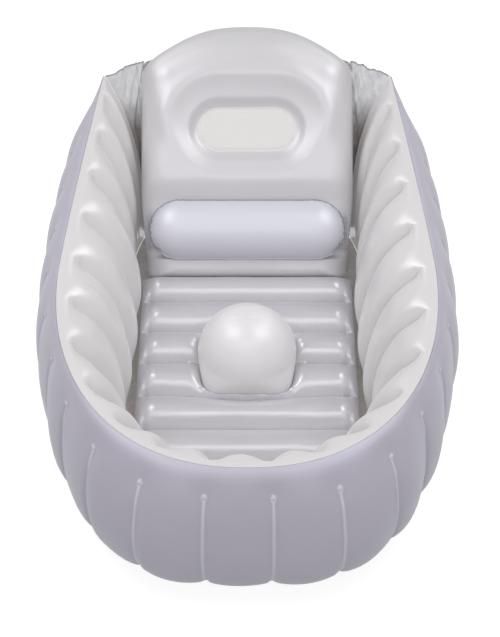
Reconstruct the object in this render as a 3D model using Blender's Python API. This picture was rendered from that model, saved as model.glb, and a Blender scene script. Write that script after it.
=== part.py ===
"""Inflatable baby bathtub: welded air chambers, film gussets, valves and a drain.

Metres, +Z up. The tub's length runs along Y with the backrest at +Y. The origin
is on the ground, in the middle of the tub's length and width.
"""
import math

import bmesh
import bpy
import numpy as np
from mathutils import Matrix, Vector

# The whole tub
TUB_LENGTH = 0.978
RIM_HALF_WIDTH = 0.277
BACK_NARROWING = 0.040
FRONT_HEIGHT = 0.245
BACK_HEIGHT = 0.270
FRONT_ROUND_LENGTH = 0.371
FRONT_SQUARENESS = 2.25
SIDE_TAPER_POWER = 1.2
TOUCH_GAP = 0.0003
SHEET_THICKNESS = 0.001
CUT_OVERRUN = 0.004

# Wall chamber: outer and inner skin between the rim seam and the foot seam
OUTER_BULGE = 0.049
INNER_REACH = 0.104
CREASE_COUNT = 22
CREASE_SHIFT = 0.012
END_LOBE_SHARE = 0.6
LOBE_STEPS = 4
LOBE_POWER = 0.8
RIM_POINTS = 240
OUTER_CREASE_DEPTH = 0.007
INNER_CREASE_DEPTH = 0.012
END_CLOSING_LENGTH = 0.110
END_SLOPE_LENGTH = 0.240
END_SLOPE_RUN = 0.090
END_HALF_THICKNESS = 0.0024
END_CLOSING_POWER = 0.7
END_SEAM_REACH = 0.060
END_SEAM_KNEE_HEIGHT_SHARE = 0.805
END_SEAM_KNEE_REACH_SHARE = 0.5
# Along half the rim, 0 at the front centre and 1 at the back corner
BULGE_SHARES = ((0, 1.0), (0.12, 1.26), (0.19, 1.06), (0.28, 0.72), (0.40, 0.64), (0.50, 0.82),
                (0.62, 1.0), (0.74, 1.13), (1, 1.13))
REACH_SHARES = ((0, 0.85), (0.30, 0.80), (0.38, 0.80), (0.47, 0.97), (0.56, 1.0),
                (0.70, 0.93), (0.80, 0.72), (0.88, 0.64), (1, 0.60))
# Section of each skin, from the rim down: share of the bulge or reach, share of the height,
# share of the crease depth
OUTER_SECTION_SHARES = ((0, 1, 0), (0.36, 0.925, 0), (0.66, 0.825, 0), (0.88, 0.68, 0.8),
                        (1, 0.50, 1), (0.97, 0.34, 1), (0.80, 0.205, 1), (0.47, 0.11, 1),
                        (0.10, 0.035, 0.6), (-0.25, 0, 0))
INNER_SECTION_SHARES = ((0, 1, 0), (0.22, 0.985, 0.7), (0.45, 0.93, 1), (0.68, 0.82, 1),
                        (0.86, 0.66, 1), (0.97, 0.48, 1), (1, 0.34, 1), (0.96, 0.18, 0.6),
                        (0.88, 0.07, 0), (0.82, 0, 0))

# Floor mattress
MATTRESS_SIDE_GAP = 0.005
MATTRESS_FRONT_GAP = 0.014
MATTRESS_HEIGHT = 0.060
WELD_HEIGHT = 0.036
PINCH_HEIGHT = 0.030
MATTRESS_EDGE_RADIUS = 0.032
MATTRESS_CORNER_SHARE = 0.42
FIRST_CHANNEL = 0.064
CHANNEL_PITCH = 0.0705
WELD_BOW = 0.010
WELD_BOW_WIDTH = 0.075
WELD_BOW_REACH = 0.040
MATTRESS_SQUARENESS = 2.6
CHANNEL_POWER = 0.6
MATTRESS_BASE_INSET = 0.019
MOAT_WIDTH = 0.018
MATTRESS_COLUMN_SHARES = (0, 0.22, 0.44, 0.55, 0.78, 0.93, 0.985, 1)
CHANNEL_STEP_SHARES = (0, 0.08, 0.25, 0.5, 0.75, 0.92)
END_STEP_SHARE = 0.02
END_WIDTH_SHARE = 0.985

# Backrest, leaning on the hinge weld at the end of the mattress
LEAN_ANGLE = math.radians(43)
HINGE_GAP = 0.0006
BACKREST_LENGTH = 0.421
BACKREST_HALF_THICKNESS = 0.035
BACKREST_CROWN = 0.038
BACKREST_FOOT_INSET = 0.012
BACKREST_WIDE_FROM = 0.150
BACKREST_EDGE_RADIUS = 0.036
BACKREST_ROLL_LENGTH = 0.030
BACKREST_CORNER = 0.012
ARCH_RISE = 0.057
ARCH_POWER = 1.7
ARCH_ROUND_SHARE = 0.5
FOOT_POWER = 1.05
FOOT_RIDGE_FROM_HINGE = 0.0165
FOOT_RIDGE_HEIGHT = 0.034
BACKREST_COLUMN_SHARES = (0, 0.16, 0.33, 0.5, 0.68, 0.86, 0.94, 0.985, 1)
FOOT_ROW_SHARES = (0, 0.12, 0.3, 0.53, 0.78, 1)
UPPER_ROW_SHARES = (0.10, 0.20, 0.27, 0.34, 0.41, 0.48, 0.56, 0.66, 0.78, 0.86, 0.92, 0.965, 0.99, 1)
CORNER_SETBACK = 0.030

# Bare welded patch in the drawn-in middle of the backrest
PATCH_HALF_LENGTH = 0.082
PATCH_HALF_HEIGHT = 0.037
PATCH_FROM_HINGE = 0.245
PATCH_THICKNESS = 0.0014
PATCH_POINTS = 24
DIMPLE_DEPTH = 0.015
DIMPLE_RUN = 0.034

# Pillow across the foot of the backrest
PILLOW_FROM_HINGE = 0.078
PILLOW_HALF_HEIGHT = 0.047
PILLOW_THICKNESS = 0.054
PILLOW_SEAT_HEIGHT = 0.028
PILLOW_END_MARGIN = 0.011
PILLOW_POINTS = 28
PILLOW_LAYERS = 7
PILLOW_CROWN_POWER = 0.9
PILLOW_TOP_HALF_HEIGHT = 0.004
PILLOW_BASE_INSET = 0.010
PILLOW_WELD_HEIGHT = 0.0135
TAB_LENGTH = 0.009
TAB_HEIGHT = 0.058
TAB_DRAWN_SHARE = 0.25
TAB_STEP_SHARES = (0, 0.25, 0.5, 0.75, 1)
TAB_ROW_SHARES = (-1, -0.7, -0.35, 0, 0.35, 0.7, 1)
TAB_CLEARANCE = 0.0022

# Ball between the legs, round above and drawn to a rounded square where it is welded down
BALL_RADIUS = 0.0765
BALL_FROM_HINGE = 0.206
BALL_CENTRE_HEIGHT = 0.0635
BALL_CUT_BELOW_CENTRE = 0.0295
BALL_BASE_HALF_WIDTH = 0.068
BALL_BASE_HALF_DEPTH = 0.0695
BALL_BASE_SQUARENESS = 6
BALL_SEGMENTS = 32
BALL_RINGS = 9
BALL_BASE_RINGS = 3
BALL_CROWN_SHARE = 0.06

# Film gussets between the wall ends and the backrest
GUSSET_ACROSS = 10
GUSSET_DOWN = 9
GUSSET_FOLD_DEPTH = 0.004
GUSSET_FOLDS = 2
GUSSET_BOW = 0.012
GUSSET_FOOT = 0.012
GUSSET_CLEARANCE = 0.0012

# Valves: a seat with a stem that slides out, a cap that pulls off it and a flap inside
VALVE_SEGMENTS = 16
VALVE_FLANGE_RADIUS = 0.0155
VALVE_FLANGE_THICKNESS = 0.0015
VALVE_TUBE_RADIUS = 0.0085
VALVE_BORE_RADIUS = 0.0065
VALVE_DEPTH = 0.015
VALVE_LIP_RADIUS = 0.0042
VALVE_LIP_THICKNESS = 0.0015
STEM_BORE_RADIUS = 0.0036
STEM_COLLAR_RADIUS = 0.0080
STEM_COLLAR_THICKNESS = 0.0012
CAP_THICKNESS = 0.0018
CAP_SHANK_LENGTH = 0.008
FLAP_RADIUS = 0.0056
FLAP_THICKNESS = 0.0008
FLAP_ROOM = 0.012
VALVE_SINK = 0.004
WALL_VALVE_SHARE = 0.86
WALL_VALVE_HEIGHT = 0.090
BACK_VALVE_FROM_HINGE = 0.290
BACK_VALVE_SHARE = 0.544
MATTRESS_VALVE_SHARE = 0.556
MATTRESS_VALVE_FROM_FRONT = 0.062
BALL_VALVE_TILT = math.radians(20)

# Drain in the floor, near the foot end
DRAIN_FROM_FRONT = 0.055
DRAIN_WELL_RADIUS = 0.024
DRAIN_FLANGE_RADIUS = 0.021
DRAIN_FLANGE_THICKNESS = 0.0015
DRAIN_NECK_RADIUS = 0.0140
DRAIN_BORE_RADIUS = 0.0105
PLUG_HEAD_RADIUS = 0.0150
PLUG_HEAD_THICKNESS = 0.003

# Colours, from the product
LILAC = (0.43, 0.41, 0.50)
IVORY = (0.74, 0.73, 0.74)
PEARL = (0.80, 0.80, 0.84)
PALE_LILAC = (0.66, 0.67, 0.77)
FILM = (0.82, 0.83, 0.85)
VALVE_WHITE = (0.86, 0.87, 0.88)


def clear_scene():
    for item in list(bpy.context.scene.objects):
        bpy.data.objects.remove(item, do_unlink=True)


def plastic(name, colour, roughness):
    finish = bpy.data.materials.new(name)
    finish.use_nodes = True
    shader = finish.node_tree.nodes["Principled BSDF"]
    shader.inputs["Base Color"].default_value = (*colour, 1)
    shader.inputs["Roughness"].default_value = roughness
    shader.inputs["Metallic"].default_value = 0
    return finish


def make_object(name, mesh, finish):
    item = bpy.data.objects.new(name, mesh)
    bpy.context.scene.collection.objects.link(item)
    mesh.materials.append(finish)
    return item


def finish_mesh(name, form, finish):
    """Turn a bmesh into a smooth object whose faces point out."""
    bmesh.ops.recalc_face_normals(form, faces=form.faces)
    mesh = bpy.data.meshes.new(name)
    form.to_mesh(mesh)
    form.free()
    mesh.shade_smooth()
    mesh.set_sharp_from_angle(angle=math.radians(50))
    return make_object(name, mesh, finish)


def smoothstep(t):
    t = min(1.0, max(0.0, t))
    return t * t * (3 - 2 * t)


def read_shares(table, t):
    """Smooth value of a table of (place, share) pairs."""
    for (t0, a), (t1, b) in zip(table, table[1:]):
        if t <= t1:
            return a + (b - a) * smoothstep((t - t0) / (t1 - t0))
    return table[-1][1]


def both_sides(shares):
    """Shares from the middle out, mirrored to run from one edge to the other."""
    return [-share for share in reversed(shares[1:])] + list(shares)


def round_edge(distance, radius):
    """Height share of a rounded edge at a distance from the edge."""
    rest = 1 - min(1.0, max(0.0, distance / radius))
    return math.sqrt(1 - rest * rest)


def loft(name, rings, finish):
    """Closed body through rings of equal point counts, capped at both ends."""
    form = bmesh.new()
    loops = [[form.verts.new(point) for point in ring] for ring in rings]
    for first, second in zip(loops, loops[1:]):
        for k in range(len(first) - 2):
            form.faces.new((first[k], first[k + 1], second[k + 1], second[k]))
        # The last two strips are split one way, so that two bodies sharing them stay parallel
        for k, after in ((-2, -1), (-1, 0)):
            form.faces.new((first[k], first[after], second[after]))
            form.faces.new((first[k], second[after], second[k]))
    form.faces.new(loops[0])
    form.faces.new(reversed(loops[-1]))
    return finish_mesh(name, form, finish)


def turned(name, profile, finish, place, segments):
    """Body of revolution about the local Z axis from a closed (radius, height) outline."""
    form = bmesh.new()
    verts = [form.verts.new((radius, 0, height)) for radius, height in profile]
    edges = [form.edges.new((a, b)) for a, b in zip(verts, verts[1:])]
    if profile[0][0] > 0:
        edges.append(form.edges.new((verts[-1], verts[0])))
    bmesh.ops.spin(form, geom=verts + edges, axis=(0, 0, 1), cent=(0, 0, 0),
                   steps=segments, angle=math.tau, use_merge=True)
    bmesh.ops.remove_doubles(form, verts=form.verts, dist=TOUCH_GAP / 10)
    item = finish_mesh(name, form, finish)
    item.matrix_world = place
    return item


def cut(item, cutter):
    """Cut one shape out of another and keep the cutter as a hidden guide."""
    cutter.hide_render = True
    cutter.display_type = "WIRE"
    step = item.modifiers.new("cut_" + cutter.name, "BOOLEAN")
    step.operation = "DIFFERENCE"
    step.solver = "EXACT"
    step.object = cutter


def facing(point, direction):
    """Frame at a point with its Z axis along a direction."""
    turn = Vector(direction).to_track_quat("Z", "Y").to_matrix().to_4x4()
    return Matrix.Translation(point) @ turn


# Places that several pieces share

def hinge_place():
    """Point on the axis of the backrest's hinge weld."""
    run = (BACKREST_LENGTH - BACKREST_HALF_THICKNESS) * math.cos(LEAN_ANGLE)
    return Vector((0, TUB_LENGTH / 2 - BACKREST_HALF_THICKNESS - run, PINCH_HEIGHT))


def rim_front():
    return -TUB_LENGTH / 2 + OUTER_BULGE


def shoulder_distance():
    return BACKREST_LENGTH - ARCH_RISE


def rim_back():
    shoulder = hinge_place().y + shoulder_distance() * math.cos(LEAN_ANGLE)
    return shoulder - CORNER_SETBACK


def backrest_frame():
    """Local X is the tub's X, local Y runs up the slope and local Z points to the front."""
    return Matrix.Translation(hinge_place()) @ Matrix.Rotation(LEAN_ANGLE, 4, "X")


def mattress_half_width():
    return RIM_HALF_WIDTH - INNER_REACH - MATTRESS_SIDE_GAP + INNER_CREASE_DEPTH / 4


def mattress_front():
    return rim_front() + INNER_REACH * REACH_SHARES[0][1] + MATTRESS_FRONT_GAP


def mattress_rear():
    return hinge_place().y - HINGE_GAP


# Wall chamber

def rim_outline():
    """Plan of the rim seam as points from the left back corner round the front to the right."""
    steps = RIM_POINTS
    widest = rim_front() + FRONT_ROUND_LENGTH
    side = rim_back() - widest
    narrowing = BACK_NARROWING
    left = []
    for k in range(steps):
        t = 1 - k / steps
        left.append((-RIM_HALF_WIDTH + narrowing * t ** SIDE_TAPER_POWER, widest + side * t))
    front = []
    for k in range(2 * steps + 1):
        angle = math.pi * (1 + k / (2 * steps))
        across, along = math.cos(angle), math.sin(angle)
        x = math.copysign(abs(across) ** (2 / FRONT_SQUARENESS), across) * RIM_HALF_WIDTH
        front.append((x, widest - FRONT_ROUND_LENGTH * abs(along) ** (2 / FRONT_SQUARENESS)))
    right = [(-x, y) for x, y in reversed(left)]
    return np.array(left + front + right)


def wall_stations():
    """Places along the rim, evenly lobed on the outer skin: (point, outward, half share,
    distance to the nearer end, lobe swell from 0 in a crease to 1 between two)."""
    plan = rim_outline()
    along = np.gradient(plan, axis=0)
    along /= np.linalg.norm(along, axis=1)[:, None]
    outward = np.column_stack((along[:, 1], -along[:, 0]))
    outer = plan + outward * OUTER_BULGE
    walked = np.concatenate(([0], np.cumsum(np.linalg.norm(np.diff(outer, axis=0), axis=1))))
    rim = np.concatenate(([0], np.cumsum(np.linalg.norm(np.diff(plan, axis=0), axis=1))))
    total = walked[-1]
    pitch = total / (CREASE_COUNT - 1 + 2 * END_LOBE_SHARE)
    first = pitch * END_LOBE_SHARE - CREASE_SHIFT
    creases = [first + k * pitch for k in range(CREASE_COUNT)]
    marks = [0] + creases + [total]
    stations = []
    for lobe, (start, stop) in enumerate(zip(marks, marks[1:])):
        for k in range(LOBE_STEPS):
            stations.append((start + (stop - start) * k / LOBE_STEPS,
                             abs(math.sin(math.pi * k / LOBE_STEPS)) ** LOBE_POWER))
    stations.append((total, 0))
    places = []
    for distance, swell in stations:
        point = [np.interp(distance, walked, plan[:, axis]) for axis in (0, 1)]
        out = [np.interp(distance, walked, outward[:, axis]) for axis in (0, 1)]
        on_rim = np.interp(distance, walked, rim)
        half = abs(2 * on_rim / rim[-1] - 1)
        to_end = min(on_rim, rim[-1] - on_rim)
        places.append((point, out, half, to_end, swell))
    return places


def rim_height(y):
    return FRONT_HEIGHT + (BACK_HEIGHT - FRONT_HEIGHT) * (y - rim_front()) / (rim_back() - rim_front())


def section_normals(points):
    """Unit normals of a section outline given as (outward, up) points."""
    run = np.gradient(np.array(points), axis=0)
    run /= np.linalg.norm(run, axis=1)[:, None]
    return np.column_stack((-run[:, 1], run[:, 0]))


def skin_points(place, inner):
    """One skin of the wall at a station, from the rim seam down to the foot."""
    point, out, half, to_end, swell = place
    closing = end_closing(place)
    height = rim_height(point[1])
    if inner:
        shares = INNER_SECTION_SHARES
        size = -INNER_REACH * read_shares(REACH_SHARES, half)
        crease = INNER_CREASE_DEPTH
    else:
        shares = OUTER_SECTION_SHARES
        size = OUTER_BULGE * read_shares(BULGE_SHARES, half)
        crease = OUTER_CREASE_DEPTH
    section = [(size * side, height * up) for side, up, _ in shares]
    normals = section_normals(section)
    sign = 1 if inner else -1
    skin = []
    for (side, up), normal, (_, _, fade) in zip(section, normals, shares):
        dip = crease * fade * (1 - swell) * sign
        side = (side + normal[0] * dip) * closing
        up = max(0, up + normal[1] * dip)
        side = side - (end_seam_reach(up / height) + sign * END_HALF_THICKNESS) * (1 - closing)
        slope = 1 - smoothstep(to_end / END_SLOPE_LENGTH)
        lean = END_SLOPE_RUN * slope * (1 - up / height)
        skin.append(Vector((point[0] + out[0] * side, point[1] + out[1] * side - lean, up)))
    return skin


def end_closing(place):
    """Share of the wall's full thickness: 0 at its two ends, 1 along the tub."""
    return math.sin(math.pi / 2 * min(1, place[3] / END_CLOSING_LENGTH)) ** END_CLOSING_POWER


def end_seam_reach(up_share):
    """How far the wall's end seam is drawn in towards the backrest, at a share of the height."""
    knee, share = END_SEAM_KNEE_HEIGHT_SHARE, END_SEAM_KNEE_REACH_SHARE
    if up_share > knee:
        return END_SEAM_REACH * share * (1 - up_share) / (1 - knee)
    return END_SEAM_REACH * (share + (1 - share) * (1 - up_share / knee))


def foot_seam(place):
    shift = END_HALF_THICKNESS * (1 - end_closing(place))
    return skin_points(place, True)[-1] + Vector((*place[1], 0)) * shift


def middle_knee(place, rim, foot):
    """Point between rim and foot seam where the two bodies' shared face bends near the wall's ends."""
    knee, closing = END_SEAM_KNEE_HEIGHT_SHARE, end_closing(place)
    straight = END_SEAM_REACH * (1 - knee)
    drawn = (end_seam_reach(knee) - straight) * (1 - closing)
    return foot + (rim - foot) * knee - Vector((*place[1], 0)) * drawn


def make_wall(finish_outer, finish_inner):
    """Two solids that share the chord from the rim seam to the foot seam."""
    outer_rings = []
    inner_rings = []
    for place in wall_stations():
        out = Vector((*place[1], 0))
        foot = foot_seam(place)
        outer = skin_points(place, False)
        inner = skin_points(place, True)
        half_gap = TOUCH_GAP / 2
        rim = (outer[0] + inner[0]) / 2
        knee = middle_knee(place, rim, foot)
        outer_ring = [rim + out * half_gap * 2]
        outer_ring += [point + out * half_gap for point in outer[1:]]
        outer_ring += [point + out * half_gap * 2 for point in (foot, knee)]
        inner_ring = [rim - out * half_gap * 2]
        inner_ring += [point - out * half_gap for point in inner[1:-1]]
        inner_ring += [point - out * half_gap * 2 for point in (foot, knee)]
        outer_rings.append(outer_ring)
        inner_rings.append(inner_ring)
    outer_wall = loft("outer_wall", outer_rings, finish_outer)
    inner_wall = loft("inner_wall", inner_rings, finish_inner)
    return outer_wall, inner_wall


def make_base_sheet(finish):
    """Bottom film, flat on the ground inside the wall's foot seam."""
    edge = []
    for place in wall_stations():
        out = Vector((*place[1], 0))
        edge.append(foot_seam(place) - out * (TOUCH_GAP * 3))
    rings = []
    for height in (0, SHEET_THICKNESS):
        rings.append([Vector((point.x, point.y, height)) for point in edge])
    return loft("base_sheet", rings, finish)


# Floor mattress

def ball_place():
    return Vector((0, hinge_place().y - BALL_FROM_HINGE, BALL_CENTRE_HEIGHT))


def ball_base_distance(x, y):
    """Distance outside the ball's rounded square base, 0 inside it."""
    power = BALL_BASE_SQUARENESS
    across, along = abs(x), abs(y - ball_place().y)
    shares = (across / BALL_BASE_HALF_WIDTH, along / BALL_BASE_HALF_DEPTH)
    reach = sum(share ** power for share in shares) ** (1 / power)
    return math.hypot(across, along) * (1 - 1 / reach) if reach > 1 else 0


def mattress_outline_half_width(y):
    """Half width of the mattress, rounded towards the foot end."""
    length = mattress_rear() - mattress_front()
    corner = length * MATTRESS_CORNER_SHARE
    into = max(0, 1 - (y - mattress_front()) / corner)
    return mattress_half_width() * (1 - into ** MATTRESS_SQUARENESS) ** (1 / MATTRESS_SQUARENESS)


def mattress_height(x, y, across, between):
    """Top surface: channels between the welds, a moat round the ball and a rounded edge all round."""
    rows = math.sin(math.pi * between) ** CHANNEL_POWER if 0 < between < 1 else 0
    rows = rows * smoothstep(ball_base_distance(x, y) / MOAT_WIDTH)
    crown = WELD_HEIGHT + (MATTRESS_HEIGHT - WELD_HEIGHT) * rows
    half = mattress_outline_half_width(y)
    side = round_edge(half * (1 - abs(across)), MATTRESS_EDGE_RADIUS)
    ends = min(y - mattress_front(), mattress_rear() - y)
    edge = min(side, round_edge(ends, MATTRESS_EDGE_RADIUS)) if ends > 0 else 0
    return PINCH_HEIGHT + (crown - PINCH_HEIGHT) * edge


def mattress_welds():
    """Places of the cross welds, from the foot end to the backrest."""
    last = mattress_rear() - FIRST_CHANNEL
    count = int((last - mattress_front()) / CHANNEL_PITCH)
    return [last - k * CHANNEL_PITCH for k in reversed(range(count))]


def make_mattress(finish):
    columns = both_sides(MATTRESS_COLUMN_SHARES)
    front, rear = mattress_front(), mattress_rear()
    marks = [front] + mattress_welds() + [rear]
    rows = [(low + (high - low) * share, share)
            for low, high in zip(marks, marks[1:]) for share in CHANNEL_STEP_SHARES]
    rows.append((rear, 0))
    end_step = CHANNEL_PITCH * END_STEP_SHARE
    rows.insert(1, (front + end_step, END_STEP_SHARE))
    rows.insert(-1, (rear - end_step, 1 - END_STEP_SHARE))
    ball = ball_place()
    form = bmesh.new()
    grid = []
    for y, between in rows:
        line = []
        for across in columns:
            width = mattress_outline_half_width(y)
            if y == front:
                width = mattress_outline_half_width(front + end_step) * END_WIDTH_SHARE
            x = across * width
            bow = WELD_BOW * math.exp(-(x / WELD_BOW_WIDTH) ** 2)
            near = math.exp(-((y - ball.y + BALL_RADIUS) / WELD_BOW_REACH) ** 2)
            height = mattress_height(x, y, across, between)
            if y == front:
                height = PINCH_HEIGHT
            line.append(form.verts.new((x, y - bow * near, height)))
        grid.append(line)
    for low, high in zip(grid, grid[1:]):
        for k in range(len(columns) - 1):
            form.faces.new((low[k], low[k + 1], high[k + 1], high[k]))
    rim = grid[0] + [line[-1] for line in grid[1:-1]] + list(reversed(grid[-1]))
    rim += [line[0] for line in reversed(grid[1:-1])]
    centre = Vector((0, (front + rear) / 2, 0))
    low_ring = []
    for vert in rim:
        toward = centre - vert.co
        toward.z = 0
        point = vert.co + toward.normalized() * MATTRESS_BASE_INSET
        point.z = SHEET_THICKNESS + TOUCH_GAP
        low_ring.append(form.verts.new(point))
    for k in range(len(rim)):
        after = (k + 1) % len(rim)
        form.faces.new((rim[k], rim[after], low_ring[after], low_ring[k]))
    form.faces.new(reversed(low_ring))
    return finish_mesh("floor_mattress", form, finish)


# Backrest, in its own frame

def backrest_half_width(up_slope):
    wide = RIM_HALF_WIDTH - BACK_NARROWING - INNER_REACH * REACH_SHARES[-1][1]
    grown = smoothstep(up_slope / BACKREST_WIDE_FROM)
    return wide - BACKREST_FOOT_INSET * (1 - grown)


def backrest_top(x):
    """Length of the backrest at a distance from its middle: an arch with flared shoulders."""
    share = min(1, abs(x) / backrest_half_width(shoulder_distance()))
    swing = (1 - math.cos(math.pi * share ** ARCH_POWER)) / 2
    drop = ARCH_ROUND_SHARE * share ** 2 + (1 - ARCH_ROUND_SHARE) * swing
    return BACKREST_LENGTH - ARCH_RISE * drop


def stadium_distance(x, y, half_length, half_height):
    """Distance outside a stadium outline, negative inside it."""
    over = max(0, abs(x) - (half_length - half_height))
    return math.hypot(over, y) - half_height


def backrest_front(x, up_slope, side, top):
    seat_start = PILLOW_FROM_HINGE - PILLOW_HALF_HEIGHT
    seat_end = PILLOW_FROM_HINGE + PILLOW_HALF_HEIGHT
    rise = smoothstep((up_slope - seat_end) / PILLOW_HALF_HEIGHT)
    crown = PILLOW_SEAT_HEIGHT + (BACKREST_CROWN - PILLOW_SEAT_HEIGHT) * rise
    ridge_end = smoothstep((up_slope - FOOT_RIDGE_FROM_HINGE) / (seat_start - FOOT_RIDGE_FROM_HINGE))
    crown += (FOOT_RIDGE_HEIGHT - PILLOW_SEAT_HEIGHT) * (1 - ridge_end)
    foot = math.sin(math.pi / 2 * min(1, up_slope / FOOT_RIDGE_FROM_HINGE)) ** FOOT_POWER
    outside = stadium_distance(x, up_slope - PATCH_FROM_HINGE, PATCH_HALF_LENGTH, PATCH_HALF_HEIGHT)
    dimple = DIMPLE_DEPTH * (1 - smoothstep(outside / DIMPLE_RUN))
    edge = min(round_edge(side, BACKREST_EDGE_RADIUS), round_edge(top, BACKREST_EDGE_RADIUS))
    return min(edge, foot) * crown - dimple * edge


def backrest_back(side, top, up_slope):
    edge = min(round_edge(side, BACKREST_EDGE_RADIUS), round_edge(top, BACKREST_EDGE_RADIUS))
    foot = math.sin(math.pi / 2 * min(1, up_slope / (2 * BACKREST_ROLL_LENGTH)))
    return -BACKREST_HALF_THICKNESS * min(edge, foot)


def make_backrest(finish):
    columns = both_sides(BACKREST_COLUMN_SHARES)
    seat_start = PILLOW_FROM_HINGE - PILLOW_HALF_HEIGHT
    seat_end = PILLOW_FROM_HINGE + PILLOW_HALF_HEIGHT
    low_rows = [seat_start * share for share in FOOT_ROW_SHARES] + [PILLOW_FROM_HINGE, seat_end]
    form = bmesh.new()
    grid_front = []
    grid_back = []
    rows = [(up, 0) for up in low_rows] + [(seat_end, share) for share in UPPER_ROW_SHARES]
    for base, share in rows:
        front = []
        back = []
        for across in columns:
            x = across * backrest_half_width(base)
            up = base + share * (backrest_top(x) - base)
            half = backrest_half_width(up)
            corner_distance = min(up, backrest_top(across * half) - up)
            corner = BACKREST_CORNER * (1 - round_edge(corner_distance, BACKREST_CORNER))
            x = across * (half - corner)
            side = half * (1 - abs(across))
            top = backrest_top(x) - up if share < 1 else 0
            on_rim = abs(across) == 1 or up == 0 or share == 1
            vert = form.verts.new((x, up, 0 if on_rim else backrest_front(x, up, side, top)))
            front.append(vert)
            if on_rim:
                back.append(vert)
            else:
                back.append(form.verts.new((x, up, backrest_back(side, top, up))))
        grid_front.append(front)
        grid_back.append(back)
    for grid, flip in ((grid_front, False), (grid_back, True)):
        for low, high in zip(grid, grid[1:]):
            for k in range(len(columns) - 1):
                loop = [low[k], low[k + 1], high[k + 1], high[k]]
                form.faces.new(reversed(loop) if flip else loop)
    item = finish_mesh("backrest", form, finish)
    item.matrix_world = backrest_frame() @ Matrix.Translation((0, TOUCH_GAP, 0))
    return item


def stadium_ring(half_length, half_height, height, count):
    """Points of a stadium outline at a height, with round ends."""
    quarter = count // 4
    ring = []
    for centre, start in ((1, -0.5), (-1, 0.5)):
        for k in range(2 * quarter + 1):
            angle = math.pi * (start + k / (2 * quarter))
            x = centre * (half_length - half_height) + half_height * math.cos(angle)
            ring.append(Vector((x, half_height * math.sin(angle), height)))
    return ring


def patch_floor():
    return BACKREST_CROWN - DIMPLE_DEPTH - PATCH_THICKNESS


def make_patch(finish, backrest):
    """Bare stadium patch in a shallow recess of the backrest."""
    place = backrest_frame() @ Matrix.Translation((0, PATCH_FROM_HINGE, 0))
    floor = patch_floor()
    rings = []
    for height in (floor, floor + PATCH_THICKNESS):
        rings.append(stadium_ring(PATCH_HALF_LENGTH, PATCH_HALF_HEIGHT, height, PATCH_POINTS))
    patch = loft("backrest_patch", rings, finish)
    patch.matrix_world = place
    rings = []
    for height in (floor - TOUCH_GAP, floor + DIMPLE_DEPTH + CUT_OVERRUN):
        rings.append(stadium_ring(PATCH_HALF_LENGTH + TOUCH_GAP, PATCH_HALF_HEIGHT + TOUCH_GAP,
                                  height, PATCH_POINTS))
    recess = loft("patch_recess", rings, finish)
    recess.matrix_world = place
    cut(backrest, recess)
    return patch


def pillow_half_length():
    return backrest_half_width(PILLOW_FROM_HINGE - PILLOW_HALF_HEIGHT) - PILLOW_END_MARGIN + TAB_LENGTH / 2


def make_pillow(finish):
    """Bolster with round ends: flat back, waist weld and a full crown."""
    weld = PILLOW_WELD_HEIGHT
    layers = [(PILLOW_BASE_INSET * (1 - round_edge(share, 1)), weld * share) for share in (0, 1 / 2)]
    for k in range(PILLOW_LAYERS):
        angle = math.pi / 2 * k / PILLOW_LAYERS
        inset = (PILLOW_HALF_HEIGHT - PILLOW_TOP_HALF_HEIGHT) * (1 - math.cos(angle) ** PILLOW_CROWN_POWER)
        layers.append((inset, weld + (PILLOW_THICKNESS - weld) * math.sin(angle)))
    rings = [stadium_ring(pillow_half_length() - inset, PILLOW_HALF_HEIGHT - inset, height, PILLOW_POINTS)
             for inset, height in layers]
    pillow = loft("pillow", rings, finish)
    pillow.matrix_world = pillow_place()
    return pillow


def pillow_place():
    lift = PILLOW_SEAT_HEIGHT + TOUCH_GAP
    return backrest_frame() @ Matrix.Translation((0, PILLOW_FROM_HINGE, lift))


def tab_low_height(x, y):
    """Lowest height of the tab's upper face over the backrest, in the pillow's frame."""
    up_slope = PILLOW_FROM_HINGE + y
    side = backrest_half_width(up_slope) - x
    under = backrest_front(x, up_slope, side, BACKREST_LENGTH) - PILLOW_SEAT_HEIGHT
    return under + SHEET_THICKNESS + TAB_CLEARANCE


def make_pillow_tab(name, side, finish):
    """Clear film tab that runs from the pillow's end weld down to the backrest."""
    end = pillow_half_length() + TAB_LENGTH * (1 - TAB_DRAWN_SHARE)
    rings = []
    for share in TAB_ROW_SHARES:
        y = share * TAB_HEIGHT / 2
        round_in = PILLOW_HALF_HEIGHT - math.sqrt(PILLOW_HALF_HEIGHT ** 2 - y ** 2)
        start = pillow_half_length() + 2 * TOUCH_GAP - round_in
        stop = end + TAB_LENGTH * TAB_DRAWN_SHARE * share ** 2
        top = PILLOW_WELD_HEIGHT
        foot = tab_low_height(stop, y)
        upper = []
        for step in TAB_STEP_SHARES:
            x = start + (stop - start) * step
            upper.append((x, max(top + (foot - top) * step, tab_low_height(x, y))))
        outline = upper + [(x, height - SHEET_THICKNESS) for x, height in reversed(upper)]
        rings.append([Vector((side * x, y, height)) for x, height in outline])
    tab = loft(name, rings, finish)
    tab.matrix_world = pillow_place()
    return tab


# Ball

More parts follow.
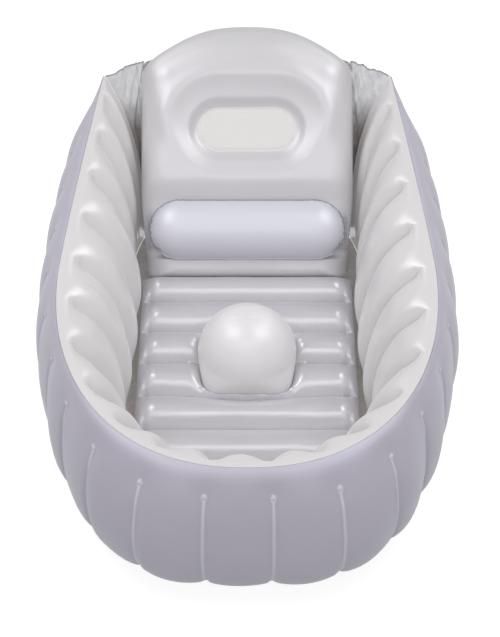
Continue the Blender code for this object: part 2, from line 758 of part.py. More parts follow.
def ball_rings(grown):
    """Rings from the welded base up to the crown, all larger by a given margin."""
    rings = []
    levels = [-BALL_CUT_BELOW_CENTRE * (1 - k / BALL_BASE_RINGS) for k in range(BALL_BASE_RINGS)]
    for height in levels:
        drawn = (height / BALL_CUT_BELOW_CENTRE) ** 2
        half_width = BALL_RADIUS + (BALL_BASE_HALF_WIDTH - BALL_RADIUS) * drawn
        half_depth = BALL_RADIUS + (BALL_BASE_HALF_DEPTH - BALL_RADIUS) * drawn
        power = 2 + (BALL_BASE_SQUARENESS - 2) * drawn
        rings.append(square_ring(half_width + grown, half_depth + grown, power, height - grown))
    for k in range(BALL_RINGS):
        angle = math.pi / 2 * (1 - BALL_CROWN_SHARE) * k / (BALL_RINGS - 1)
        radius = (BALL_RADIUS + grown) * math.cos(angle)
        rings.append(square_ring(radius, radius, 2, (BALL_RADIUS + grown) * math.sin(angle)))
    return rings


def square_ring(half_width, half_depth, power, height):
    """Points of a rounded square at a height; power 2 makes it round."""
    ring = []
    for k in range(BALL_SEGMENTS):
        angle = math.tau * k / BALL_SEGMENTS
        across, along = math.cos(angle), math.sin(angle)
        x = math.copysign(abs(across) ** (2 / power), across) * half_width
        ring.append(Vector((x, math.copysign(abs(along) ** (2 / power), along) * half_depth, height)))
    return ring


def make_ball(finish, mattress):
    ball = loft("ball", ball_rings(0), finish)
    seat = loft("ball_seat", ball_rings(2 * TOUCH_GAP), finish)
    for item in (ball, seat):
        item.matrix_world = Matrix.Translation(ball_place())
    cut(mattress, seat)
    return ball


# Film gussets

def make_gusset(name, side, finish):
    """Pleated film from the wall's end seam to the side of the backrest."""
    end = wall_stations()[0 if side < 0 else -1]
    seam = skin_points(end, True)
    to_world = backrest_frame()
    form = bmesh.new()
    sheets = {-1: [], 1: []}
    for j in range(GUSSET_DOWN + 1):
        down = j / GUSSET_DOWN
        top_z = seam[0].z - TOUCH_GAP
        z = top_z + (GUSSET_FOOT - top_z) * down
        order = sorted(seam, key=lambda point: point.z)
        x, y = [np.interp(z, [point.z for point in order], [point[axis] for point in order])
                for axis in (0, 1)]
        start = Vector((x, y + GUSSET_CLEARANCE, z))
        up_slope = shoulder_distance() * (1 - down) + BACKREST_ROLL_LENGTH * down
        reach = backrest_half_width(up_slope) + GUSSET_CLEARANCE
        stop = to_world @ Vector((side * reach, up_slope, 0))
        bend = Vector((stop.x, max(start.y, stop.y) + GUSSET_BOW, (start.z + stop.z) / 2))
        rows = {-1: [], 1: []}
        for i in range(GUSSET_ACROSS + 1):
            t = i / GUSSET_ACROSS
            point = start * (1 - t) ** 2 + bend * 2 * t * (1 - t) + stop * t ** 2
            run = (bend - start) * 2 * (1 - t) + (stop - bend) * 2 * t
            normal = Vector((run.y, -run.x, 0)).normalized()
            fold = GUSSET_FOLD_DEPTH * math.sin(math.tau * GUSSET_FOLDS * t) * (1 - t) ** 2
            for face in (-1, 1):
                shift = fold + face * SHEET_THICKNESS / 2
                rows[face].append(form.verts.new(point + normal * shift))
        sheets[-1].append(rows[-1])
        sheets[1].append(rows[1])
    for grid in sheets.values():
        for low, high in zip(grid, grid[1:]):
            for k in range(GUSSET_ACROSS):
                form.faces.new((low[k], low[k + 1], high[k + 1], high[k]))
    rims = []
    for face in (-1, 1):
        grid = sheets[face]
        rims.append(grid[0] + [line[-1] for line in grid[1:-1]] + list(reversed(grid[-1]))
                    + [line[0] for line in reversed(grid[1:-1])])
    for k in range(len(rims[0])):
        after = (k + 1) % len(rims[0])
        form.faces.new((rims[0][k], rims[0][after], rims[1][after], rims[1][k]))
    return finish_mesh(name, form, finish)


# Valves

def make_valve(name, place, chamber, finish):
    """A valve at a frame whose Z axis points out of the chamber."""
    flange = VALVE_FLANGE_RADIUS
    tube = VALVE_TUBE_RADIUS
    bore = VALVE_BORE_RADIUS
    lip = -VALVE_DEPTH + VALVE_LIP_THICKNESS
    seat = [(bore, 0), (flange, 0), (flange, -VALVE_FLANGE_THICKNESS),
            (tube, -VALVE_FLANGE_THICKNESS), (tube, -VALVE_DEPTH),
            (VALVE_LIP_RADIUS, -VALVE_DEPTH), (VALVE_LIP_RADIUS, lip), (bore, lip)]
    turned(name + "_valve_seat", seat, finish, place, VALVE_SEGMENTS)

    stem_radius = bore - TOUCH_GAP
    collar_top = TOUCH_GAP + STEM_COLLAR_THICKNESS
    stem = [(STEM_BORE_RADIUS, collar_top), (STEM_COLLAR_RADIUS, collar_top),
            (STEM_COLLAR_RADIUS, TOUCH_GAP), (stem_radius, TOUCH_GAP),
            (stem_radius, lip + TOUCH_GAP), (STEM_BORE_RADIUS, lip + TOUCH_GAP)]
    turned(name + "_valve_stem", stem, finish, place, VALVE_SEGMENTS)

    cap_low = collar_top + TOUCH_GAP
    shank = STEM_BORE_RADIUS - TOUCH_GAP
    cap = [(0, cap_low + CAP_THICKNESS), (STEM_COLLAR_RADIUS, cap_low + CAP_THICKNESS),
           (STEM_COLLAR_RADIUS, cap_low), (shank, cap_low),
           (shank, cap_low - CAP_SHANK_LENGTH), (0, cap_low - CAP_SHANK_LENGTH)]
    turned(name + "_valve_cap", cap, finish, place, VALVE_SEGMENTS)

    flap_top = -VALVE_DEPTH - TOUCH_GAP
    flap = [(0, 0), (FLAP_RADIUS, 0), (FLAP_RADIUS, -FLAP_THICKNESS), (0, -FLAP_THICKNESS)]
    hinge = place @ Matrix.Translation((-FLAP_RADIUS, 0, flap_top))
    item = turned(name + "_valve_flap", flap, finish, Matrix.Identity(4), VALVE_SEGMENTS)
    item.data.transform(Matrix.Translation((FLAP_RADIUS, 0, 0)))
    item.matrix_world = hinge

    clear = TOUCH_GAP
    pocket_depth = -VALVE_DEPTH - FLAP_ROOM
    above = VALVE_SINK + CUT_OVERRUN
    pocket = [(0, above), (flange + clear, above), (flange + clear, -VALVE_FLANGE_THICKNESS - clear),
              (tube + clear, -VALVE_FLANGE_THICKNESS - clear), (tube + clear, pocket_depth),
              (0, pocket_depth)]
    cut(chamber, turned(name + "_valve_pocket", pocket, finish, place, VALVE_SEGMENTS))


def wall_valve_place():
    """On the left side, between two creases near the back."""
    stations = wall_stations()
    goal = WALL_VALVE_SHARE
    middle = [place for place in stations[:len(stations) // 2] if place[4] > 0.99]
    place = min(middle, key=lambda item: abs(item[2] - goal))
    skin = sorted(skin_points(place, False), key=lambda point: point.z)
    heights = [point.z for point in skin]
    point = [float(np.interp(WALL_VALVE_HEIGHT, heights, [p[axis] for p in skin])) for axis in (0, 1)]
    out = Vector((*place[1], 0))
    return facing(Vector((*point, WALL_VALVE_HEIGHT)) - out * VALVE_SINK, out)


def back_valve_place():
    x = BACK_VALVE_SHARE * backrest_half_width(BACK_VALVE_FROM_HINGE)
    depth = -BACKREST_HALF_THICKNESS + VALVE_SINK
    turn = Matrix.Rotation(math.pi, 4, "X")
    return backrest_frame() @ Matrix.Translation((x, BACK_VALVE_FROM_HINGE, depth)) @ turn


def mattress_valve_place():
    y = mattress_front() + MATTRESS_VALVE_FROM_FRONT
    x = MATTRESS_VALVE_SHARE * mattress_half_width()
    return Matrix.Translation((x, y, MATTRESS_HEIGHT - 2 * VALVE_SINK))


def ball_valve_place():
    direction = Vector((0, math.cos(BALL_VALVE_TILT), math.sin(BALL_VALVE_TILT)))
    return facing(ball_place() + direction * (BALL_RADIUS - VALVE_SINK), direction)


# Drain

def drain_place():
    return Vector((0, mattress_front() + DRAIN_FROM_FRONT, 0))


def make_drain(finish, base_sheet, mattress):
    """Ring welded into the bottom film, and the plug that lifts out of it."""
    place = Matrix.Translation(drain_place())
    deck = SHEET_THICKNESS + TOUCH_GAP
    top = deck + DRAIN_FLANGE_THICKNESS
    seat = [(DRAIN_BORE_RADIUS, top), (DRAIN_FLANGE_RADIUS, top), (DRAIN_FLANGE_RADIUS, deck),
            (DRAIN_NECK_RADIUS, deck), (DRAIN_NECK_RADIUS, TOUCH_GAP), (DRAIN_BORE_RADIUS, TOUCH_GAP)]
    turned("drain_seat", seat, finish, place, 2 * VALVE_SEGMENTS)
    shank = DRAIN_BORE_RADIUS - TOUCH_GAP
    head = top + TOUCH_GAP
    plug = [(0, head + PLUG_HEAD_THICKNESS), (PLUG_HEAD_RADIUS, head + PLUG_HEAD_THICKNESS),
            (PLUG_HEAD_RADIUS, head), (shank, head), (shank, 2 * TOUCH_GAP), (0, 2 * TOUCH_GAP)]
    turned("drain_plug", plug, finish, place, 2 * VALVE_SEGMENTS)
    hole = [(0, CUT_OVERRUN), (DRAIN_NECK_RADIUS + TOUCH_GAP, CUT_OVERRUN),
            (DRAIN_NECK_RADIUS + TOUCH_GAP, -CUT_OVERRUN), (0, -CUT_OVERRUN)]
    cut(base_sheet, turned("drain_hole", hole, finish, place, 2 * VALVE_SEGMENTS))
    tall = MATTRESS_HEIGHT + CUT_OVERRUN
    well = [(0, tall), (DRAIN_WELL_RADIUS, tall), (DRAIN_WELL_RADIUS, -CUT_OVERRUN), (0, -CUT_OVERRUN)]
    cut(mattress, turned("drain_well", well, finish, place, 2 * VALVE_SEGMENTS))


def main():
    clear_scene()
    lilac = plastic("lilac_vinyl", LILAC, 0.55)
    ivory = plastic("ivory_vinyl", IVORY, 0.35)
    pearl = plastic("pearl_vinyl", PEARL, 0.3)
    pale_lilac = plastic("pillow_vinyl", PALE_LILAC, 0.22)
    film = plastic("clear_film", FILM, 0.2)
    white = plastic("valve_vinyl", VALVE_WHITE, 0.35)
    outer_wall, inner_wall = make_wall(lilac, ivory)
    base_sheet = make_base_sheet(lilac)
    mattress = make_mattress(pearl)
    backrest = make_backrest(pearl)
    make_patch(ivory, backrest)
    make_pillow(pale_lilac)
    make_pillow_tab("pillow_tab_left", -1, film)
    make_pillow_tab("pillow_tab_right", 1, film)
    ball = make_ball(ivory, mattress)
    make_gusset("side_gusset_left", -1, film)
    make_gusset("side_gusset_right", 1, film)
    make_valve("wall", wall_valve_place(), outer_wall, white)
    make_valve("backrest", back_valve_place(), backrest, white)
    make_valve("mattress", mattress_valve_place(), mattress, white)
    make_valve("ball", ball_valve_place(), ball, white)
    make_drain(white, base_sheet, mattress)


main()
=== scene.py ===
import math

import bpy
import numpy as np
from mathutils import Matrix, Vector
from mathutils.kdtree import KDTree


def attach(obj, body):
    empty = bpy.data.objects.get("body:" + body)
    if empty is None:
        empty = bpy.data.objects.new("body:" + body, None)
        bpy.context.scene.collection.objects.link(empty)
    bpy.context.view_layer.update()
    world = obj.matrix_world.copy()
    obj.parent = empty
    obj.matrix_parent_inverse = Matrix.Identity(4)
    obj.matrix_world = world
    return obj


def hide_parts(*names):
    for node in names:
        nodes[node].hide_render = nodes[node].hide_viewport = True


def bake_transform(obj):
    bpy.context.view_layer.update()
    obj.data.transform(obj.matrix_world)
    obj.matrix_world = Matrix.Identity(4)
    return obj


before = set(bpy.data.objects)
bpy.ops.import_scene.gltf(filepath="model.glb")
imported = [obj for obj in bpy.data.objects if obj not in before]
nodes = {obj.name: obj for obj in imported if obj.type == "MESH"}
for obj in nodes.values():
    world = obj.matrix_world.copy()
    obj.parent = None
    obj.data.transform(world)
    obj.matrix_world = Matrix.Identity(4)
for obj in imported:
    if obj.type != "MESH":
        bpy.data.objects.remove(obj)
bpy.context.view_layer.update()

print("frame loaded:", len(nodes), "nodes")


# camera, set to the photograph's view
view = dict(target=(0, 0.019, 0.085), elevation=43, distance=2.8, lens=101.3, shiftX=0.0045)


def placeCamera():
    lens = bpy.data.cameras.new("camera")
    lens.lens = view["lens"]
    lens.shift_x = view["shiftX"]
    camera = bpy.data.objects.new("camera", lens)
    bpy.context.scene.collection.objects.link(camera)
    up = math.radians(view["elevation"])
    away = Vector((0, -math.cos(up), math.sin(up)))
    camera.location = Vector(view["target"]) + away * view["distance"]
    camera.rotation_euler = away.to_track_quat("Z", "Y").to_euler()
    bpy.context.scene.camera = camera


placeCamera()
bpy.context.scene.view_settings.view_transform = "Standard"


# small helpers for meshes

meshing = dict(join=0.000001, looseJoin=0.00001, smoothAngle=55, sheetSmoothAngle=60)


def alone():
    bpy.ops.object.select_all(action="DESELECT")


def pick(piece):
    alone()
    piece.select_set(True)
    bpy.context.view_layer.objects.active = piece


def editMode(action=None, kind=None):
    bpy.ops.object.mode_set(mode="EDIT")
    if kind:
        bpy.ops.mesh.select_mode(type=kind)
    if action:
        bpy.ops.mesh.select_all(action=action)


def objectMode():
    bpy.ops.object.mode_set(mode="OBJECT")


def selectOpenEdges():
    bpy.ops.mesh.select_non_manifold(extend=False, use_wire=False, use_boundary=True,
                                     use_multi_face=False, use_non_contiguous=False, use_verts=False)


def verticesOf(piece):
    places = np.zeros(len(piece.data.vertices) * 3)
    piece.data.vertices.foreach_get("co", places)
    return places.reshape(-1, 3)


def setVertices(piece, places):
    piece.data.vertices.foreach_set("co", places.reshape(-1))
    piece.data.update()


def gridPiece(name, points):
    # a primitive grid pulled to an array of points: rows x columns x 3
    rows, columns = points.shape[:2]
    alone()
    bpy.ops.mesh.primitive_grid_add(x_subdivisions=columns - 1, y_subdivisions=rows - 1, size=2)
    piece = bpy.context.active_object
    piece.name = name
    piece.data.name = name
    flat = verticesOf(piece)
    column = np.rint((flat[:, 0] + 1) / 2 * (columns - 1)).astype(int)
    row = np.rint((flat[:, 1] + 1) / 2 * (rows - 1)).astype(int)
    setVertices(piece, points[row, column])
    return piece


def fillEdges(piece, wanted):
    # one face across a loop of open edges
    editMode("DESELECT", "EDGE")
    objectMode()
    for edge in piece.data.edges:
        edge.select = wanted(edge)
    editMode()
    bpy.ops.mesh.edge_face_add()
    objectMode()


def faceOutwards(angle=meshing["smoothAngle"]):
    editMode("SELECT", "VERT")
    bpy.ops.mesh.normals_make_consistent(inside=False)
    objectMode()
    bpy.ops.object.shade_smooth_by_angle(angle=math.radians(angle))


def mergeClose(piece, join):
    pick(piece)
    editMode("SELECT")
    bpy.ops.mesh.remove_doubles(threshold=join)


def closeUp(piece, join=meshing["join"], oneHole=False):
    # merge what meets, fill the open loop of each side or the single one, turn all faces outwards
    mergeClose(piece, join)
    bpy.ops.mesh.select_all(action="DESELECT")
    selectOpenEdges()
    objectMode()
    vertices = piece.data.vertices
    middle = {edge.index: sum(vertices[v].co.x for v in edge.vertices) for edge in piece.data.edges if edge.select}
    loops = [set(middle)] if oneHole else [{e for e, x in middle.items() if x * side > 0} for side in (-1, 1)]
    for loop in filter(None, loops):
        fillEdges(piece, lambda edge: edge.index in loop)
    faceOutwards()
    return piece


def stackPiece(name, points):
    # rings stacked upwards: join each to its own start, then fill the top and the bottom by their height
    points[:, -1] = points[:, 0]
    piece = gridPiece(name, points)
    mergeClose(piece, meshing["looseJoin"])
    objectMode()
    counts = {}
    for face in piece.data.polygons:
        for key in face.edge_keys:
            counts[key] = counts.get(key, 0) + 1
    heights = [v.co.z for v in piece.data.vertices]
    middle = (min(heights) + max(heights)) / 2
    for upper in (False, True):
        fillEdges(piece, lambda edge: counts.get(edge.key) == 1 and (heights[edge.vertices[0]] > middle) == upper)
    faceOutwards()
    return piece


def raised(ring, height):
    # a flat ring of places lifted to one height
    return np.column_stack((ring, np.full(len(ring), height)))


def joinPieces(first, second):
    pick(first)
    second.select_set(True)
    bpy.ops.object.join()
    return first


def moveMesh(piece, matrix):
    piece.data.transform(matrix)
    piece.data.update()


def markVertices(piece, points, values):
    # keep the weld mask, which carries the welds' tints of painted highlight and painted shade and the film's hem, on
    # the vertices nearest to each point of a grid
    tree = KDTree(points.shape[0] * points.shape[1])
    for index, point in enumerate(points.reshape(-1, 3)):
        tree.insert(point, index)
    tree.balance()
    mask = values.reshape(-1)
    found = [mask[tree.find(place)[1]] for place in verticesOf(piece)]
    attribute = piece.data.attributes.new("weld", "FLOAT", "POINT")
    attribute.data.foreach_set("value", np.array(found, dtype=np.float32))


# small helpers for shapes

def unit(t):
    return np.clip(t, 0, 1)


def ease(t):
    t = unit(t)
    return t * t * (3 - 2 * t)


def mix(a, b, share):
    return a + (b - a) * share


def bell(away, width):
    return np.exp(-(away / width) ** 2)


def squared(turn, squareness):
    # a circle's cosine or sine, drawn out towards a square
    return np.sign(turn) * np.abs(turn) ** (2 / squareness)


def crowd(t):
    # even steps from 0 to 1, drawn together at both ends
    return 0.5 - 0.5 * np.cos(math.pi * t)


def crowdedPlaces(marks, steps):
    # places that crowd towards each mark, with their share of the way to the next
    rows = [(mix(a, b, t), t) for a, b in zip(marks, marks[1:]) for t in crowd(np.arange(steps) / steps)]
    return np.array(rows + [(marks[-1], 1)]).T


def crowdedTurn(count, roundness):
    # shares from -1 to 1 that crowd towards both sides
    turn = np.linspace(-math.pi / 2, math.pi / 2, count)
    return np.sin(turn) * roundness + turn / (math.pi / 2) * (1 - roundness)


def walkedAlong(points):
    return np.concatenate(([0], np.cumsum(np.linalg.norm(np.diff(points, axis=0), axis=1))))


def tableShare(table, places):
    # smooth reading of (place, share) pairs
    out = np.full(np.shape(places), float(table[-1][1]))
    for (t0, a), (t1, b) in reversed(list(zip(table, table[1:]))):
        out = np.where(places <= t1, mix(a, b, ease((places - t0) / (t1 - t0))), out)
    return np.where(places <= table[0][0], table[0][1], out)


def throughPoints(places, values, wanted):
    # natural cubic curve through a table
    x, y = np.asarray(places, float), np.asarray(values, float)
    gap = np.diff(x)
    count = len(x)
    bands, right = np.eye(count), np.zeros(count)
    for k in range(1, count - 1):
        bands[k, k - 1:k + 2] = gap[k - 1], 2 * (gap[k - 1] + gap[k]), gap[k]
        right[k] = 6 * ((y[k + 1] - y[k]) / gap[k] - (y[k] - y[k - 1]) / gap[k - 1])
    bend = np.linalg.solve(bands, right)
    i = np.clip(np.searchsorted(x, wanted) - 1, 0, count - 2)
    a, b = x[i + 1] - wanted, wanted - x[i]
    return ((bend[i] * a ** 3 + bend[i + 1] * b ** 3) / (6 * gap[i])
            + (y[i] / gap[i] - bend[i] * gap[i] / 6) * a + (y[i + 1] / gap[i] - bend[i + 1] * gap[i] / 6) * b)


def cushionEdge(side, sideRun, end, endRun, power):
    # 0 on the border and 1 inside, round at the border and at the corners
    rest = (unit(1 - side / sideRun) ** power + unit(1 - end / endRun) ** power) ** (1 / power)
    return np.sqrt(unit(1 - unit(rest) ** 2))


def roundEdge(distance, radius):
    rest = 1 - unit(distance / radius)
    return np.sqrt(1 - rest * rest)


ripples = dict(waves=7, growth=1.45, lengths=(0.85, 1.15), heights=(0.5, 1), calm=3)


def gathers(along, seed, finest):
    # uneven small ripples along a weld, the same on every run
    dice = np.random.default_rng(seed)
    total = np.zeros(np.shape(along))
    for step in range(ripples["waves"]):
        length = finest * ripples["growth"] ** step * dice.uniform(*ripples["lengths"])
        wave = np.sin(along / length * math.tau + dice.uniform(0, math.tau))
        total = total + wave * dice.uniform(*ripples["heights"])
    return total / ripples["calm"]


def softNoise(shape, cells, seed):
    # smooth random field over a grid, between -1 and 1
    dice = np.random.default_rng(seed)
    coarse = dice.uniform(-1, 1, (cells[0] + 1, cells[1] + 1))
    rows = np.linspace(0, cells[0], shape[0])
    columns = np.linspace(0, cells[1], shape[1])
    r, c = np.clip(rows.astype(int), 0, cells[0] - 1), np.clip(columns.astype(int), 0, cells[1] - 1)
    fr, fc = ease(rows - r)[:, None], ease(columns - c)[None, :]
    a, b = coarse[r][:, c], coarse[r][:, c + 1]
    d, e = coarse[r + 1][:, c], coarse[r + 1][:, c + 1]
    return mix(mix(a, b, fc), mix(d, e, fc), fr)


# materials

def setSockets(tree, node, sockets):
    # each socket takes a value, or a link where it is given another node's output
    for name, value in sockets.items():
        if isinstance(value, bpy.types.NodeSocket):
            tree.links.new(value, node.inputs[name])
        else:
            node.inputs[name].default_value = value
    return node


def addNode(tree, kind, sockets=None):
    return setSockets(tree, tree.nodes.new("ShaderNode" + kind), sockets or {})


def addMath(tree, operation, first, second):
    node = addNode(tree, "Math", {0: first, 1: second})
    node.operation = operation
    return node.outputs[0]


def addWeldAndPaintedLightMask(tree):
    node = addNode(tree, "Attribute")
    node.attribute_name = "weld"
    return node.outputs["Fac"]


def mixColours(tree, share, first, second):
    return addNode(tree, "MixRGB", {"Fac": share, "Color1": first, "Color2": second}).outputs["Color"]


def newMaterial(name):
    material = bpy.data.materials.new(name)
    material.use_nodes = True
    return material, material.node_tree, material.node_tree.nodes["Principled BSDF"]


surfaceLook = dict(
    cloudDetail=4, sheenScale=23, sheenDetail=3, sheenLow=-0.04, sheenHigh=0.05, grainDetail=2, grainHeight=0.0005,
)


def vinylSurfaceGroup():
    # colour mottling, uneven gloss and a very fine grain, shared by every vinyl
    group = bpy.data.node_groups.new("vinylSurface", "ShaderNodeTree")
    kinds = {"Colour": "NodeSocketColor"}
    for way, names in (("INPUT", ("Colour", "Mottle", "Mottle Scale", "Roughness", "Grain Scale")),
                       ("OUTPUT", ("Colour", "Roughness", "Height"))):
        for name in names:
            group.interface.new_socket(name=name, in_out=way, socket_type=kinds.get(name, "NodeSocketFloat"))
    given, end = group.nodes.new("NodeGroupInput").outputs, group.nodes.new("NodeGroupOutput")
    place = addNode(group, "TexCoord").outputs["Object"]
    clouds = addNode(group, "TexNoise", {"Vector": place, "Scale": given["Mottle Scale"],
                                         "Detail": surfaceLook["cloudDetail"]})
    amount = addMath(group, "MULTIPLY", addMath(group, "SUBTRACT", clouds.outputs["Fac"], 0.5), given["Mottle"])
    tint = addNode(group, "HueSaturation", {"Color": given["Colour"], "Value": addMath(group, "ADD", amount, 1)})
    sheen = addNode(group, "TexNoise", {"Vector": place, "Scale": surfaceLook["sheenScale"],
                                        "Detail": surfaceLook["sheenDetail"]})
    swing = addNode(group, "MapRange", {"Value": sheen.outputs["Fac"], "To Min": surfaceLook["sheenLow"],
                                        "To Max": surfaceLook["sheenHigh"]})
    grain = addNode(group, "TexNoise", {"Vector": place, "Scale": given["Grain Scale"],
                                        "Detail": surfaceLook["grainDetail"]})
    setSockets(group, end, {"Colour": tint.outputs["Color"], "Height": grain.outputs["Fac"],
                            "Roughness": addMath(group, "ADD", given["Roughness"], swing.outputs["Result"])})
    return group


vinylSurface = vinylSurfaceGroup()

# each finish's glow is painted light: the vinyl emits a little of its own colour, which lifts its shading evenly
plainFinish = dict(metallic=0.0, mottle=0.03, grain=1200, depth=0.02, paintedGlow=0.0)
finishes = dict(
    lilac=dict(colour=(0.484, 0.463, 0.545), roughness=0.46, metallic=0.10, coat=0.12, coatRoughness=0.36,
        mottle=0.05, mottleScale=4, grain=900, depth=0.05),
    ivory=dict(colour=(0.595, 0.581, 0.585), roughness=0.33, metallic=0.24, coat=0.12, coatRoughness=0.28,
        mottle=0.05, mottleScale=5, grain=1100, depth=0.03, paintedGlow=0.20),
    pearl=dict(colour=(0.600, 0.588, 0.620), roughness=0.295, metallic=0.42, coat=0.15, coatRoughness=0.26,
        mottle=0.04, mottleScale=6, paintedGlow=0.04),
    backSatin=dict(colour=(0.590, 0.578, 0.602), roughness=0.38, metallic=0.24, coat=0.10, coatRoughness=0.36,
        mottle=0.04, mottleScale=6, paintedGlow=0.02),
    ballSatin=dict(colour=(0.620, 0.604, 0.618), roughness=0.36, metallic=0.08, coat=0.15, coatRoughness=0.28,
        mottleScale=8, paintedGlow=0.16),
    paleLilac=dict(colour=(0.590, 0.590, 0.645), roughness=0.44, metallic=0.26, coat=0.08, coatRoughness=0.44,
        mottleScale=7, paintedGlow=0.08),
    patchPlate=dict(colour=(0.650, 0.630, 0.630), roughness=0.50, coat=0.08, coatRoughness=0.40, mottleScale=20,
        grain=1500, paintedGlow=0.03),
    valveWhite=dict(colour=(0.700, 0.710, 0.730), roughness=0.36, coat=0.20, coatRoughness=0.20, mottleScale=60,
        grain=2500, depth=0.04),
)
# the welds of these show as a line of another tone: on the lilac wall a lighter line, partly the welds' own tone and
# partly a painted highlight; round the pale lilac pillow a dark line of painted shade
weldTintsAndPaintedLight = dict(lilac=(0.720, 0.700, 0.780), paleLilac=(0.140, 0.140, 0.200))
weldTintAndPaintedLightShare = 0.85


def vinyl(name):
    values = {**plainFinish, **finishes[name]}
    colour = (*values["colour"], 1)
    material, tree, shader = newMaterial(name)
    surface = tree.nodes.new("ShaderNodeGroup")
    surface.node_tree = vinylSurface
    setSockets(tree, surface, {"Colour": colour, "Mottle": values["mottle"], "Mottle Scale": values["mottleScale"],
                               "Roughness": values["roughness"], "Grain Scale": values["grain"]})
    bump = addNode(tree, "Bump", {"Strength": values["depth"], "Distance": surfaceLook["grainHeight"],
                                  "Height": surface.outputs["Height"]})
    shown = surface.outputs["Colour"]
    # mix in the weld tint: partly painted highlight on the wall's welds, painted shade round the pillow
    if name in weldTintsAndPaintedLight:
        share = addMath(tree, "MULTIPLY", addWeldAndPaintedLightMask(tree), weldTintAndPaintedLightShare)
        shown = mixColours(tree, share, shown, (*weldTintsAndPaintedLight[name], 1))
    # the emission is painted light that lifts the vinyl's shading evenly
    setSockets(tree, shader, {
        "Base Color": shown, "Roughness": surface.outputs["Roughness"], "Normal": bump.outputs["Normal"],
        "Metallic": values["metallic"], "Coat Weight": values["coat"], "Coat Roughness": values["coatRoughness"],
        "Emission Color": colour, "Emission Strength": values["paintedGlow"]})
    return material


films = dict(
    film=dict(colour=(0.56, 0.56, 0.59), alpha=0.62),
    tabFilm=dict(colour=(0.70, 0.70, 0.74), alpha=0.40),
    baseFilm=dict(colour=(0.74, 0.69, 0.67), alpha=0.85),
)
filmLook = dict(
    roughness=0.26, coat=0.12, stretch=(1.3, 1.0, 0.8), wrinkleScale=55, wrinkleDetail=5, wrinkleTwist=1.2,
    wrinkleDepth=0.25, wrinkleHeight=0.004, hazeFrom=0.3, hazeTo=0.7, hazeSwing=0.12, paintedShadeFrom=0.235, paintedShadeTo=0.185,
    paintedShadeColour=(0.30, 0.275, 0.265), paintedShadeAlpha=0.94, hemColour=(0.10, 0.10, 0.10),
)


def clearFilm(name):
    # thin clear vinyl: mostly see-through, with a wrinkled shine
    colour, alpha = (*films[name]["colour"], 1), films[name]["alpha"]
    material, tree, shader = newMaterial(name)
    place = addNode(tree, "TexCoord").outputs["Object"]
    stretched = addNode(tree, "Mapping", {"Vector": place, "Scale": filmLook["stretch"]})
    creases = addNode(tree, "TexNoise", {
        "Vector": stretched.outputs["Vector"], "Scale": filmLook["wrinkleScale"],
        "Detail": filmLook["wrinkleDetail"], "Distortion": filmLook["wrinkleTwist"]}).outputs["Fac"]
    bump = addNode(tree, "Bump", {"Strength": filmLook["wrinkleDepth"], "Distance": filmLook["wrinkleHeight"],
                                  "Height": creases})
    swing = filmLook["hazeSwing"]
    alpha = addNode(tree, "MapRange", {
        "Value": creases, "From Min": filmLook["hazeFrom"], "From Max": filmLook["hazeTo"],
        "To Min": alpha - swing, "To Max": alpha + swing}).outputs["Result"]
    if name == "film":
        # painted shade: darker and more opaque towards the bottom, down in the gap beside the backrest, with a dark
        # hem
        up = addNode(tree, "SeparateXYZ", {"Vector": place}).outputs["Z"]
        deep = addNode(tree, "MapRange", {"Value": up, "From Min": filmLook["paintedShadeFrom"],
                                          "From Max": filmLook["paintedShadeTo"]}).outputs["Result"]
        hem = addWeldAndPaintedLightMask(tree)
        alpha = addNode(tree, "Mix", {"Factor": deep, "A": alpha, "B": filmLook["paintedShadeAlpha"]}).outputs["Result"]
        alpha = addMath(tree, "MAXIMUM", alpha, hem)
        colour = mixColours(tree, deep, colour, (*filmLook["paintedShadeColour"], 1))
        colour = mixColours(tree, hem, colour, (*filmLook["hemColour"], 1))
    setSockets(tree, shader, {
        "Base Color": colour, "Alpha": alpha, "Normal": bump.outputs["Normal"], "Roughness": filmLook["roughness"],
        "Coat Weight": filmLook["coat"], "Coat Roughness": filmLook["roughness"]})
    return material


looks = {name: vinyl(name) for name in finishes}
looks.update({name: clearFilm(name) for name in films})


def dress(piece, look):
    piece.data.materials.clear()
    piece.data.materials.append(looks[look])


def standFor(piece, node, look):
    # what shows in a CAD node's place
    dress(piece, look)
    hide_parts(node)


print("materials ready")


# the two-skin wall

wall = dict(
    length=0.978, rimHalfWidth=0.277, backNarrowing=0.040, frontHeight=0.245, backHeight=0.270, frontRound=0.371,
    squareness=2.25, sideTaper=1.2, outerBulge=0.049, innerReach=0.104, creases=22, creaseShift=0.012, endLobe=0.6,
    gap=0.0003, endClosing=0.110, endClosingPower=0.7, endSlope=0.240, endSlopeRun=0.090, endHalfThickness=0.0024,
    endSeamReach=0.060, endSeamPower=3, middlePoints=9,
    bulge=((0, 1.0), (0.12, 1.26), (0.19, 1.06), (0.28, 0.72), (0.40, 0.64), (0.50, 0.82), (0.62, 1.0),
        (0.74, 1.13), (1, 1.13)),
    reach=((0, 0.85), (0.30, 0.80), (0.38, 0.80), (0.47, 0.97), (0.56, 1.0), (0.70, 0.93), (0.80, 0.72),
        (0.88, 0.64), (1, 0.60)),
    stepsPerLobe=26, rows=96, weldRows=19, weldReach=0.010,
)
